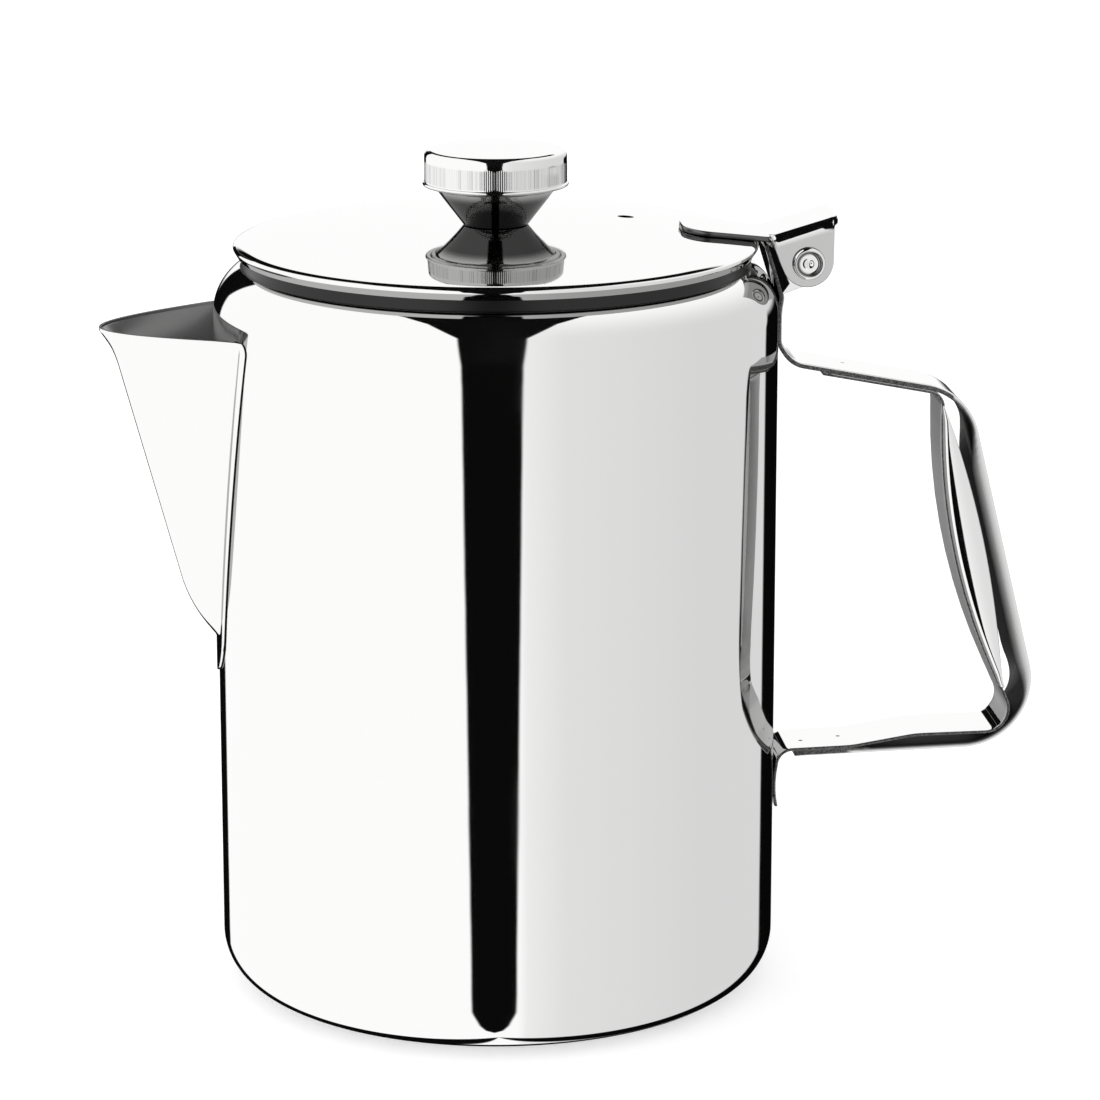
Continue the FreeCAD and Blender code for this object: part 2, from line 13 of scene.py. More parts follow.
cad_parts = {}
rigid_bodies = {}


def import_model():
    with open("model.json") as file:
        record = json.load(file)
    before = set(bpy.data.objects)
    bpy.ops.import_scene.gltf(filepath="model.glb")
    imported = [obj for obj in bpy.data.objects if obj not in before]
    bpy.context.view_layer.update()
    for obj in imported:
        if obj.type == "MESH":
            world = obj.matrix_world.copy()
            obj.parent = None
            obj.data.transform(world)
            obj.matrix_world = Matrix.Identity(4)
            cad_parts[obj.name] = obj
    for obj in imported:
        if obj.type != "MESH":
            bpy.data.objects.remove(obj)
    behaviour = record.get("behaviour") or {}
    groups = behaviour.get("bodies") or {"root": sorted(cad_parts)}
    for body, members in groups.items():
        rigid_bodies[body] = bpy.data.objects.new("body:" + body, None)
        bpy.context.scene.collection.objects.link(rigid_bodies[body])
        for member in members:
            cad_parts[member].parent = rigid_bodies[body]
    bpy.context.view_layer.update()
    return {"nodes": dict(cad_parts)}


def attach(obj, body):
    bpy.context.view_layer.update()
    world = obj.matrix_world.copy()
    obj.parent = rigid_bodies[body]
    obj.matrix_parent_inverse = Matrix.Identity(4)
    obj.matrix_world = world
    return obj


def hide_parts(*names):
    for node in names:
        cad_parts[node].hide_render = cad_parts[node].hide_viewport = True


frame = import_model()
LOG = logging.getLogger("coffee_pot")

# Lengths are in millimetres, in the frame of the CAD part.
MM = 0.001
BODY_RADIUS = 64.0
WALL_GAP = 0.05
PIN = (70.0, 167.9)
WELDS = ((79.9, 1.8, 142.54), (70.8, -2.0, 53.52), (79.9, 0.0, 53.78))
WELD_RADIUS = 0.5

# Fineness of the meshes.
ROUND_STEPS = 256
HOLE_SIDES = 42
CRISP_ANGLE = 40.0
MERGE_DISTANCE = 1e-6
CORNER_POINTS = 5
FACE_PARTS = 5
HULL_POINTS = 48
HULL_SPACING = 0.4
TINY = 1e-9

# Scale and detail of each noise in the steel, and the values between which it shows.
HAZE_NOISE = (28.0, 3.0)
RIPPLE_NOISE = (55.0, 1.0)
WIPE_NOISE = (900.0, 2.0)
GRAIN_NOISE = (2600.0, 2.0)
HAZE_STEP = (0.45, 0.75)
GRAIN_STEP = (0.35, 0.65)
WIPE_SHARE = 0.02


class Body(Enum):
    """Rigid bodies of the pot."""

    POT = "pot"
    LID = "lid"


class Slot(Enum):
    """Material slots of the record."""

    STEEL = "polished_steel"
    HARDWARE = "hardware_steel"
    BRASS = "insert_brass"


def arc(cx: float, cz: float, radius: float, start: float, end: float, count: int) -> np.ndarray:
    """Points on a circle arc.

    Args:
        cx: First coordinate of the centre.
        cz: Second coordinate of the centre.
        radius: Radius of the arc.
        start: Start angle in degrees.
        end: End angle in degrees.
        count: Number of points.

    Returns:
        Array of shape (count, 2).
    """
    angle = np.radians(np.linspace(start, end, count))
    return np.stack([cx + radius * np.cos(angle), cz + radius * np.sin(angle)], -1)


def resample(points: np.ndarray, spacing: float) -> np.ndarray:
    """Adds points to the long stretches of a line.

    Args:
        points: Array of shape (n, 2).
        spacing: Largest distance between neighbours.

    Returns:
        The line with its own points kept and others put between them.
    """
    gaps = np.linalg.norm(np.diff(points, axis=0), axis=1)
    along = np.concatenate([[0.0], np.cumsum(gaps)])
    parts = np.maximum(1, np.ceil(gaps / spacing)).astype(int)
    stretches = zip(along, along[1:], parts)
    where = np.concatenate([np.linspace(a, b, n, endpoint=False) for a, b, n in stretches])
    where = np.append(where, along[-1])
    return np.stack([np.interp(where, along, points[:, k]) for k in range(2)], -1)


def bent_line(points: tuple, radii: tuple, turn_step: float = 4.0) -> np.ndarray:
    """Line through corner points whose inner corners are arcs.

    Args:
        points: Corner points as (x, z) pairs.
        radii: One bend radius for each inner corner.
        turn_step: Degrees of turn between points on a bend.

    Returns:
        Array of shape (n, 2).
    """
    pts = [np.asarray(p, float) for p in points]
    line = [pts[0][None]]
    for before, corner, after, radius in zip(pts, pts[1:], pts[2:], radii):
        back = (before - corner) / np.linalg.norm(before - corner)
        ahead = (after - corner) / np.linalg.norm(after - corner)
        half = math.acos(float(np.clip(back @ ahead, -1, 1))) / 2
        bisector = (back + ahead) / np.linalg.norm(back + ahead)
        centre = corner + bisector * radius / math.sin(half)
        first = corner + back * radius / math.tan(half) - centre
        last = corner + ahead * radius / math.tan(half) - centre
        sweep = math.atan2(first[0] * last[1] - first[1] * last[0], first @ last)
        count = max(3, int(abs(math.degrees(sweep)) / turn_step) + 2)
        angle = math.atan2(first[1], first[0]) + np.linspace(0, sweep, count)
        line.append(centre + radius * np.stack([np.cos(angle), np.sin(angle)], -1))
    line.append(pts[-1][None])
    return np.concatenate(line)


def left_normals(line: np.ndarray) -> np.ndarray:
    """Unit normals to the left of a line's run at each point.

    Args:
        line: Array of shape (n, 2).

    Returns:
        Array of shape (n, 2).
    """
    run = np.gradient(line, axis=0)
    run /= np.linalg.norm(run, axis=1, keepdims=True)
    return np.stack([-run[:, 1], run[:, 0]], -1)


def rounded_box(half_width: float, half_height: float, edge: float) -> np.ndarray:
    """Closed outline of a rectangle with rounded corners, counter-clockwise.

    Args:
        half_width: Half of the size along the first axis.
        half_height: Half of the size along the second axis.
        edge: Corner radius.

    Returns:
        Array of shape (n, 2), with extra points along the wide faces.
    """
    w, h = half_width - edge, half_height - edge
    corners = [arc(x, z, edge, start, start + 90, CORNER_POINTS)
               for x, z, start in ((w, h, 0), (-w, h, 90), (-w, -h, 180), (w, -h, 270))]
    loop = np.concatenate(corners + [corners[0][:1]])
    return resample(loop, max(half_width / FACE_PARTS, edge))[:-1]


def smooth(low: float, high: float, value: np.ndarray) -> np.ndarray:
    """Smooth step from 0 at low to 1 at high."""
    t = np.clip((value - low) / (high - low), 0, 1)
    return t * t * (3 - 2 * t)


def plateau(low: float, high: float, ramp: float, value: np.ndarray) -> np.ndarray:
    """Smooth rise from 0 at low up to 1, and fall back to 0 at high, each over a ramp."""
    return smooth(low, low + ramp, value) * (1 - smooth(high - ramp, high, value))


def quarter_round(share: np.ndarray) -> np.ndarray:
    """Quarter circle from 0 at 0 up to 1 at 1, level beyond both."""
    return np.sqrt(np.clip(1 - (1 - np.clip(share, 0, 1)) ** 2, 0, 1))


def side_name(side: int) -> str:
    """Word for the side of the pot that a sign of Y stands for."""
    return "far" if side > 0 else "near"


def grid_object(name: str, points: np.ndarray, wrap_u: bool, wrap_v: bool,
                values: dict | None = None) -> bpy.types.Object:
    """Mesh object from a grid of points, with seams and poles welded and normals outward.

    Args:
        name: Name of the object.
        points: Array of shape (nu, nv, 3) in millimetres.
        wrap_u: Joins the last row to the first.
        wrap_v: Joins the last column to the first.
        values: Float attributes by name, each of a shape that fits (nu, nv).

    Returns:
        The new object at the origin.
    """
    nu, nv = points.shape[:2]
    index = np.arange(nu * nv).reshape(nu, nv)
    if wrap_u:
        index = np.concatenate([index, index[:1]], 0)
    if wrap_v:
        index = np.concatenate([index, index[:, :1]], 1)
    quads = np.stack([index[:-1, :-1], index[1:, :-1], index[1:, 1:], index[:-1, 1:]], -1)
    mesh = bpy.data.meshes.new(name)
    mesh.from_pydata((points.reshape(-1, 3) * MM).tolist(), [], quads.reshape(-1, 4).tolist())
    for key, value in (values or {}).items():
        layer = mesh.attributes.new(key, "FLOAT", "POINT")
        layer.data.foreach_set("value", np.broadcast_to(value, (nu, nv)).astype(np.float32).ravel())
    tidy = bmesh.new()
    tidy.from_mesh(mesh)
    bmesh.ops.remove_doubles(tidy, verts=tidy.verts, dist=MERGE_DISTANCE)
    bmesh.ops.recalc_face_normals(tidy, faces=tidy.faces)
    tidy.to_mesh(mesh)
    tidy.free()
    mesh.polygons.foreach_set("use_smooth", np.ones(len(mesh.polygons), bool))
    obj = bpy.data.objects.new(name, mesh)
    bpy.context.scene.collection.objects.link(obj)
    return obj


def sheet_object(name: str, points: np.ndarray, way: tuple, thickness: float, offset: float,
                 rim: int = 0, values: dict | None = None) -> bpy.types.Object:
    """Open sheet with a thickness and its next material on the back.

    Args:
        name: Name of the object.
        points: Array of shape (nu, nv, 3) in millimetres.
        way: Direction that the sheet's front faces on the whole.
        thickness: Thickness in millimetres.
        offset: -1 where the thickness lies behind the points, 0 where it is centred on them.
        rim: Steps from the first material to the one on the cut edge.
        values: Float attributes by name.

    Returns:
        The new object at the origin.
    """
    obj = grid_object(name, points, False, False, values)
    mesh = obj.data
    normal = np.empty(len(mesh.polygons) * 3)
    mesh.polygons.foreach_get("normal", normal)
    if normal.reshape(-1, 3).sum(0) @ np.asarray(way) < 0:
        mesh.flip_normals()
    solid = obj.modifiers.new("sheet", "SOLIDIFY")
    solid.thickness = thickness * MM
    solid.offset = offset
    solid.use_even_offset = False
    solid.material_offset = 1
    solid.material_offset_rim = rim
    return obj


def turned_grid(profile: np.ndarray, count: int) -> np.ndarray:
    """Surface of revolution about Z: (r cos t, r sin t, z) for each profile point and angle t.

    Args:
        profile: Array of shape (n, 2) of radius and height.
        count: Number of angles.

    Returns:
        Array of shape (n, count, 3).
    """
    angle = np.linspace(0, 2 * np.pi, count, endpoint=False)
    radius, height = profile[:, :1], profile[:, 1:]
    return np.stack([radius * np.cos(angle), radius * np.sin(angle), height + 0 * angle], -1)


def drill(obj: bpy.types.Object, axis: int, centres: list, radius: float, span: tuple) -> None:
    """Cuts round holes through a piece and keeps their edges crisp.

    Args:
        obj: The piece.
        axis: Axis that the holes run along.
        centres: Centres on the next two axes in turn, as pairs.
        radius: Radius of the holes.
        span: Start and end of the cut along the axis.
    """
    low, high = span
    tool = turned_grid(np.array([(0, low), (radius, low), (radius, high), (0, high)]), HOLE_SIDES)
    cutters = bpy.data.collections.new("cutters")
    for first, second in centres:
        moved = np.roll(tool + [first, second, 0], axis + 1, -1)
        cutter = grid_object("cutter", moved, False, True)
        bpy.context.scene.collection.objects.unlink(cutter)
        cutters.objects.link(cutter)
    cut = obj.modifiers.new("holes", "BOOLEAN")
    cut.operand_type = "COLLECTION"
    cut.collection = cutters
    cut.solver = "EXACT"
    graph = bpy.context.evaluated_depsgraph_get()
    drilled = bpy.data.meshes.new_from_object(obj.evaluated_get(graph))
    obj.modifiers.remove(cut)
    drilled.set_sharp_from_angle(angle=math.radians(CRISP_ANGLE))
    obj.data = drilled
    for cutter in list(cutters.objects):
        bpy.data.meshes.remove(cutter.data)
    bpy.data.collections.remove(cutters)


def closed_strip(line: np.ndarray, body: np.ndarray) -> np.ndarray:
    """Rows of points along a line in the XZ plane, with both ends drawn together to a point.

    Args:
        line: Middle line, shape (n, 2).
        body: Rows of points, shape (n, m, 3).

    Returns:
        Array of shape (n + 2, m, 3).
    """
    first, last = (np.broadcast_to([x, 0, z], body[:1].shape) for x, z in (line[0], line[-1]))
    return np.concatenate([first, body, last])


def swept_grid(line: np.ndarray, section: np.ndarray, width: np.ndarray) -> np.ndarray:
    """Strip along a line in the XZ plane: line(s) + n(s) * section height, Y = section * width(s).

    Args:
        line: Middle line, shape (n, 2).
        section: Closed outline of width and height, shape (m, 2).
        width: Factor on the section's width at each point of the line.

    Returns:
        Array of shape (n + 2, m, 3), closed at both ends.
    """
    normal = left_normals(line)
    lift = section[None, :, 1]
    y = section[None, :, 0] * width[:, None]
    x, z = (line[:, k:k + 1] + normal[:, k:k + 1] * lift for k in range(2))
    return closed_strip(line, np.stack([x, y, z], -1))


def plate_grid(outline: np.ndarray, centre: tuple, hole: float, span: tuple,
               edge: float) -> np.ndarray:
    """Flat plate in the XZ plane: rings from the hole out to the outline and back.

    Args:
        outline: Closed outline, shape (n, 2), star-shaped about the centre.
        centre: Centre (x, z) of the hole.
        hole: Radius of the hole.
        span: Lower and upper Y of the plate.
        edge: Radius of the rounded outer edge.

    Returns:
        Array of shape (rings, n, 3) that closes on itself in both directions.
    """
    low, high = span
    mid = np.asarray(centre, float)
    way = outline - mid
    reach = np.linalg.norm(way, axis=1, keepdims=True)
    unit = way / reach
    bend = np.radians(np.linspace(-90, 0, CORNER_POINTS))
    round_edge = list(zip(edge * (1 - np.cos(bend)), edge * (1 + np.sin(bend))))
    bore = hole + 0 * reach
    halfway = hole + (reach - edge - hole) / 2
    rings = [(bore, low), (halfway, low)]
    rings += [(reach - inset, low + climb) for inset, climb in round_edge]
    rings += [(reach - inset, high - climb) for inset, climb in reversed(round_edge)]
    rings += [(halfway, high), (bore, high)]
    return np.stack([np.insert(mid + unit * r, 1, y, axis=1) for r, y in rings])


def hull_outline(centre: tuple, radius: float, corners: list) -> np.ndarray:
    """Closed outline made of a circle's far side and straight lines through corner points.

    Args:
        centre: Centre (x, z) of the circle.
        radius: Radius of the circle.
        corners: Corner points, the first and last joined to the circle by tangents.

    Returns:
        Array of shape (n, 2).
    """
    mid = np.asarray(centre, float)
    angles = []
    for corner, side in ((corners[0], 1), (corners[-1], -1)):
        way = np.asarray(corner, float) - mid
        swing = side * math.acos(radius / np.linalg.norm(way))
        angles.append(math.atan2(way[1], way[0]) + swing)
    sweep = (angles[1] - angles[0]) % (2 * math.pi)
    start, end = math.degrees(angles[0]), math.degrees(angles[0] + sweep)
    round_part = arc(*mid, radius, start, end, HULL_POINTS)
    loop = np.concatenate([round_part, np.asarray(corners[::-1], float), round_part[:1]])
    return resample(loop, HULL_SPACING)[:-1]


class Graph:
    """Small helper that adds and links shader nodes."""

    def __init__(self, tree: bpy.types.NodeTree) -> None:
        """Keeps the tree."""
        self.tree = tree

    def fill(self, node: bpy.types.Node, inputs: dict) -> bpy.types.Node:
        """Sets or links a node's inputs.

        Args:
            node: The node.
            inputs: Values or sockets by input name or index.

        Returns:
            The same node.
        """
        for key, value in inputs.items():
            if isinstance(value, bpy.types.NodeSocket):
                self.tree.links.new(value, node.inputs[key])
            else:
                node.inputs[key].default_value = value
        return node

    def add(self, kind: str, inputs: dict | None = None, **settings: object) -> bpy.types.Node:
        """Adds a node.

        Args:
            kind: Node type without the ShaderNode prefix.
            inputs: Values or sockets by input name or index.
            settings: Properties of the node.

        Returns:
            The new node.
        """
        prefix = "" if kind.startswith("NodeGroup") else "ShaderNode"
        node = self.tree.nodes.new(prefix + kind)
        for key, value in settings.items():
            setattr(node, key, value)
        return self.fill(node, inputs or {})

    def math(self, operation: str, *values: object) -> bpy.types.NodeSocket:
        """Math node of one operation; returns its result."""
        return self.add("Math", dict(enumerate(values)), operation=operation).outputs[0]

    def invert(self, value: object) -> bpy.types.NodeSocket:
        """One minus a value; returns its result."""
        return self.math("SUBTRACT", 1.0, value)

    def degrees(self, y: object, x: object) -> bpy.types.NodeSocket:
        """Angle in degrees of the direction (x, y); returns its result."""
        return self.math("MULTIPLY", self.math("ARCTAN2", y, x), 180 / math.pi)

    def dot(self, a: object, b: object) -> bpy.types.NodeSocket:
        """Dot product of two vectors; returns its result."""
        return self.add("VectorMath", {0: a, 1: b}, operation="DOT_PRODUCT").outputs["Value"]

    def noise(self, scale: float, detail: float) -> bpy.types.NodeSocket:
        """Noise over the object's own space.

        Args:
            scale: Scale of the noise.
            detail: Number of finer layers.

        Returns:
            Its value.
        """
        where = self.add("TexCoord").outputs["Object"]
        inputs = {"Vector": where, "Scale": scale, "Detail": detail}
        return self.add("TexNoise", inputs).outputs[0]

    def step(self, value: object, low: float, high: float) -> bpy.types.NodeSocket:
        """Smooth step of a value from 0 at low to 1 at high; returns its result."""
        inputs = {"Value": value, "From Min": low, "From Max": high}
        return self.add("MapRange", inputs, interpolation_type="SMOOTHSTEP").outputs[0]

    def curve(self, value: object, points: tuple) -> bpy.types.NodeSocket:
        """Line through given points, level beyond both ends, as a sum of clamped ramps.

        Args:
            value: Where the line is read.
            points: Pairs of a value and its result.

        Returns:
            The result.
        """
        total = points[0][1]
        for (x0, y0), (x1, y1) in zip(points, points[1:]):
            inputs = {"Value": value, "From Min": x0, "From Max": x1, "To Max": y1 - y0}
            total = self.math("ADD", total, self.add("MapRange", inputs).outputs[0])
        return total

    def between(self, value: object, low: float, high: float, soft: float) -> bpy.types.NodeSocket:
        """Soft mask that is 1 from low to high: a smooth step times one minus another.

        Args:
            value: What is tested.
            low: Lower end.
            high: Upper end.
            soft: Half of the width of each step.

        Returns:
            The mask.
        """
        start = self.step(value, low - soft, low + soft)
        end = self.step(value, high - soft, high + soft)
        return self.math("MULTIPLY", start, self.invert(end))


def new_group(name: str, inputs: dict, outputs: list) -> tuple:
    """Empty node group with float inputs and outputs.

    Args:
        name: Name of the group.
        inputs: Default values by input name.
        outputs: Output names.

    Returns:
        The group, its graph, its input node and its output node.
    """
    tree = bpy.data.node_groups.new(name, "ShaderNodeTree")
    for key, value in inputs.items():
        socket = tree.interface.new_socket(key, in_out="INPUT", socket_type="NodeSocketFloat")
        socket.default_value = value
    for key in outputs:
        tree.interface.new_socket(key, in_out="OUTPUT", socket_type="NodeSocketFloat")
    graph = Graph(tree)
    return tree, graph, graph.add("NodeGroupInput"), graph.add("NodeGroupOutput")


def polish_group() -> bpy.types.NodeTree:
    """Group of polished sheet: broad haze for roughness, and ripples with fine wipes for height.

    Returns:
        The new group.
    """
    sockets = {"Haze": 0.03, "Base": 0.03}
    tree, g, enter, leave = new_group("polish", sockets, ["Roughness", "Height"])
    patches = g.step(g.noise(*HAZE_NOISE), *HAZE_STEP)
    haze = g.math("MULTIPLY", patches, enter.outputs["Haze"])
    wipes = g.math("MULTIPLY", g.noise(*WIPE_NOISE), WIPE_SHARE)
    g.fill(leave, {"Roughness": g.math("ADD", enter.outputs["Base"], haze),
                   "Height": g.math("ADD", g.noise(*RIPPLE_NOISE), wipes)})
    return tree


def weld_group() -> bpy.types.NodeTree:
    """Group that is 1 within a small radius of the straps' spot welds and 0 elsewhere.

    Returns:
        The new group.
    """
    tree, g, _, leave = new_group("weld_marks", {}, ["Mark"])
    where = g.add("TexCoord").outputs["Object"]
    mark = 0.0
    for spot in WELDS:
        distance = g.add("VectorMath", {0: where, 1: Vector(spot) * MM}, operation="DISTANCE")
        inside = g.math("LESS_THAN", distance.outputs["Value"], WELD_RADIUS * MM)
        mark = g.math("MAXIMUM", mark, inside)
    g.fill(leave, {"Mark": mark})
    return tree


@dataclass(frozen=True)
class SteelFinish:
    """Polished sheet steel: rougher cut edges in painted shade with a scuffed grain, and darker,
    duller places where a piece marks them, mostly painted shade, and at the weld marks.

    The bump's height is in metres.
    """

    name: str
    colour: tuple = (0.965, 0.965, 0.96)
    roughness: float = 0.03
    haze: float = 0.03
    bump: float = 0.05
    bump_height: float = 0.0004
    edge_roughness: float = 0.35
    # Cut edges are painted near black as shade, with a scuffed grain.
    edge_colour: tuple = (0.03, 0.03, 0.03)
    edge_shade_and_wear: float = 0.8
    edge_grain: float = 0.16
    shade_roughness: float = 0.3
    marks: str = ""

    def build(self, groups: dict) -> bpy.types.Material:
        """Makes the material.

        Args:
            groups: Node groups by name.

        Returns:
            The new material.
        """
        mat = bpy.data.materials.new(self.name)
        mat.use_nodes = True
        g = Graph(mat.node_tree)
        inputs = {"Haze": self.haze, "Base": self.roughness}
        polish = g.add("Group", inputs, node_tree=groups["polish"]).outputs
        edge = g.add("Attribute", attribute_name="cut_edge").outputs["Fac"]
        shade = g.add("Attribute", attribute_name="shade").outputs["Fac"]
        # Cut edges go dark towards the edge colour: painted shade, with a scuffed grain.
        grain = g.step(g.noise(*GRAIN_NOISE), *GRAIN_STEP)
        uneven_shade = g.math("MULTIPLY_ADD", grain, self.edge_grain, self.edge_shade_and_wear)
        # The shade attribute adds painted shade, and in a few places a darker, duller finish.
        shade_wear_and_marks = g.math("MAXIMUM", g.math("MULTIPLY", edge, uneven_shade), shade)
        if self.marks:
            spots = g.add("Group", node_tree=groups[self.marks]).outputs["Mark"]
            shade_wear_and_marks = g.math("MAXIMUM", shade_wear_and_marks, spots)
        rough = g.math("MULTIPLY_ADD", edge, self.edge_roughness, polish["Roughness"])
        rough = g.math("MULTIPLY_ADD", shade, self.shade_roughness, rough)
        mix = {"Factor": shade_wear_and_marks, "A": (*self.colour, 1), "B": (*self.edge_colour, 1)}
        ripple = {"Height": polish["Height"], "Strength": self.bump, "Distance": self.bump_height}
        g.fill(mat.node_tree.nodes["Principled BSDF"], {
            "Metallic": 1.0,
            "Base Color": g.add("Mix", mix, data_type="RGBA").outputs[2],
            "Roughness": rough,
            "Normal": g.add("Bump", ripple).outputs[0],
        })
        return mat


@dataclass
class PotBody:
    """Drawn body with a rounded base corner, a rounded shoulder and a short neck."""

    radius: float = BODY_RADIUS
    wall: float = 0.8
    corner: float = 11.5
    shoulder: float = 157.0
    bend: float = 12.0
    turn: float = 60.3
    neck: float = 57.5
    neck_bend: float = 0.7
    neck_height: float = 5.0
    neck_slack: float = 0.3
    top: float = 171.87
    rim: float = 0.32
    hole: float = 2.5
    hole_pitch: float = 8.0
    hole_rows: int = 6
    hole_columns: int = 3
    hole_foot: float = 92.0
    hole_span: tuple = (-2.0, 12.0)
    # Painted shade on the neck under the lid's overhang.
    neck_shade: float = 0.985
    inside_dullness: float = 0.06
    spacing: float = 4.0

    def profile(self) -> np.ndarray:
        """Closed wall from the base's centre up the outside and down the inside.

        Returns:
            Array of shape (n, 2) of radius and height.
        """
        half = math.tan(math.radians(self.turn / 2))
        lean = math.tan(math.radians(90 - self.turn))
        corners = [(0, 0), (self.radius, 0)]
        for inset in (0, self.wall):
            r, n = self.radius - inset, self.neck - inset
            knee = (r, self.shoulder + (self.bend - inset) * half)
            run = [knee, (n, knee[1] + (r - n) * lean), (n, self.top)]
            corners += run if inset == 0 else run[::-1]
        corners += [(self.radius - self.wall, self.wall), (0, self.wall)]
        outside = [self.corner, self.bend, self.neck_bend, self.rim]
        inside = [self.rim, self.neck_bend, self.bend - self.wall, self.corner - self.wall]
        return resample(bent_line(corners, outside + inside), self.spacing)

    def shade(self, profile: np.ndarray) -> np.ndarray:
        """Strong painted shade on the neck's outside under the lid; a slightly darker, duller
        inside.

        Args:
            profile: Array of shape (n, 2) of radius and height.

        Returns:
            Dullness at each point of the profile.
        """
        r, z = profile.T
        on_neck = (r < self.neck + self.neck_slack) & (z > self.top - self.neck_height)
        inside = np.arange(len(r)) > np.argmax(z)
        return np.where(inside, self.inside_dullness, np.where(on_neck, self.neck_shade, 0.0))

    def build(self) -> list:
        """Makes the wall, turned about Z, with staggered rows of pour holes.

        Returns:
            List with the body's object.
        """
        profile = self.profile()
        values = {"shade": self.shade(profile)[:, None]}
        wall = grid_object("body_visual", turned_grid(profile, ROUND_STEPS), False, True, values)
        centres = []
        for row in range(self.hole_rows):
            columns = self.hole_columns - row % 2
            z = self.hole_foot + row * self.hole_pitch
            centres += [((c - (columns - 1) / 2) * self.hole_pitch, z) for c in range(columns)]
        drill(wall, 0, centres, self.hole, tuple(x - self.radius for x in self.hole_span))
        return [wall]


@dataclass
class Spout:
    """Folded V spout with a flared lip and a weld flange on the wall."""

    wall_radius: float = BODY_RADIUS + WALL_GAP
    sheet: float = 0.5
    tip: float = 89.7
    tip_height: float = 154.7
    rise: float = 0.8
    rim_depth: float = 6.0
    flare: float = 1.7
    lip: float = 9.0
    keel_reach: float = 72.4
    keel_height: float = 96.5
    keel_bend: float = 32.0
    keel_nose: float = 6.0
    rim_nose: float = 9.0
    foot: float = 74.4
    top_half: float = 28.6
    taper: float = 0.233
    corner: float = 3.0
    flange: float = 2.2
    feather: float = 0.28
    feather_from: float = 0.94
    fillet: float = 0.35
    foot_sweep: tuple = (1.0, 74.0)
    rows: tuple = (26, 150, 24)
    columns: int = 241
    spread: float = 0.28
    least_square: float = 0.01
    least_half: float = 1.0
    least_depth: float = 0.05
    least_room: float = 0.15
    least_slope: float = 1e-4

    @property
    def top(self) -> float:
        """Height of the flange's top edge."""
        return self.tip_height + self.rise

    def reach(self, z: np.ndarray) -> np.ndarray:
        """Reach of the front fold: arc at the foot, straight keel, lip that flares as a square.

        Args:
            z: Heights.

        Returns:
            Reach from the axis at each height.
        """
        run = self.tip - self.flare - self.keel_reach
        slope = run / (self.tip_height - self.keel_height)
        lean = math.hypot(1, slope)
        cx = self.keel_reach - self.keel_bend / lean
        cz = self.keel_height + self.keel_bend * slope / lean
        square = np.maximum(self.keel_bend**2 - (cz - z) ** 2, self.least_square)
        low = cx + np.sqrt(square)
        lip = np.maximum(0, 1 + (z - self.tip_height) / self.lip)
        high = self.keel_reach + slope * (z - self.keel_height) + self.flare * lip**2
        return np.where(z < self.keel_height, low, high)

    def outline(self) -> tuple:
        """Rows of the flange's outline: round foot, straight sides and rounded top corners.

        Returns:
            Height of each row, half width between the straight sides there, and half width of
            the outline.
        """
        lean = math.hypot(1, self.taper)
        half_foot = self.top_half - self.taper * (self.top - self.foot)
        radius = half_foot / (lean - self.taper)
        centre = self.foot + radius
        corner_foot = self.top - self.corner
        foot_rows, side_rows, corner_rows = self.rows
        low = centre - radius * np.cos(np.radians(np.linspace(*self.foot_sweep, foot_rows)))
        middle = np.linspace(low[-1], corner_foot, side_rows)[1:]
        z = np.concatenate([low, middle, np.linspace(corner_foot, self.top, corner_rows)[1:]])
        side = self.top_half - self.taper * (self.top - z)
        round_foot = np.sqrt(np.maximum(radius**2 - (z - centre) ** 2, 0))
        width = np.where(z < centre - radius * self.taper / lean, round_foot, side)
        cut = np.clip(z - corner_foot, 0, self.corner)
        return z, side, width - self.corner + np.sqrt(np.maximum(self.corner**2 - cut**2, 0))

    def form(self, y: np.ndarray, z: np.ndarray, half: np.ndarray) -> np.ndarray:
        """Reach of the folded V, a hyperbola in Y.

        It is keel - (sqrt(m y^2 + c^2) - c), with c = m * nose and the side point on it.

        Args:
            y: Y of each point.
            z: Height of each row.
            half: Y where the V meets the wall in each row.

        Returns:
            Reach from the axis at each point.
        """
        keel = self.reach(np.minimum(z, self.tip_height))
        share = np.clip((z - self.keel_height) / (self.top - self.keel_height), 0, 1)
        nose = self.keel_nose + (self.rim_nose - self.keel_nose) * share
        depth = np.maximum(keel - np.sqrt(self.wall_radius**2 - half**2), self.least_depth)
        room = np.maximum(half**2 - 2 * depth * nose, self.least_room * half**2)
        m = np.maximum(depth**2 / room, self.least_slope)
        c = m * nose
        return keel - (np.sqrt(m * y**2 + c**2) - c)

    def build(self) -> list:
        """Makes the spout's piece.

        The sheet is a field over the wall, x = -max(wall(y), form(y, z)) with a small fillet where
        they meet, over y = u * width(z) inside the flange's outline.

        Returns:
            List of objects.
        """
        z, side, width = self.outline()
        z = z[:, None]
        u = np.linspace(-1, 1, self.columns)
        u = (1 - self.spread) * u + self.spread * u**3
        y = u * width[:, None]
        outer = self.wall_radius + self.sheet
        drawn_in = self.feather * smooth(self.feather_from, 1.0, np.abs(u))
        wall = np.sqrt((outer - drawn_in) ** 2 - y**2)
        half = np.maximum(side - self.flange, self.least_half)
        form = self.form(y, z, half[:, None])
        blend = np.sqrt((wall - form) ** 2 + self.fillet**2)
        reach = np.maximum((wall + form + blend) / 2 - self.fillet / 4, wall)
        rim = smooth(self.tip_height - self.rim_depth, self.tip_height, z)
        fall = rim * self.rise * np.clip((reach - outer) / (self.tip - outer), 0, 1)
        points = np.stack([-reach, y, z - fall], -1)
        return [sheet_object("spout_visual", points, (-1, 0, 0), self.sheet, -1.0, rim=2)]


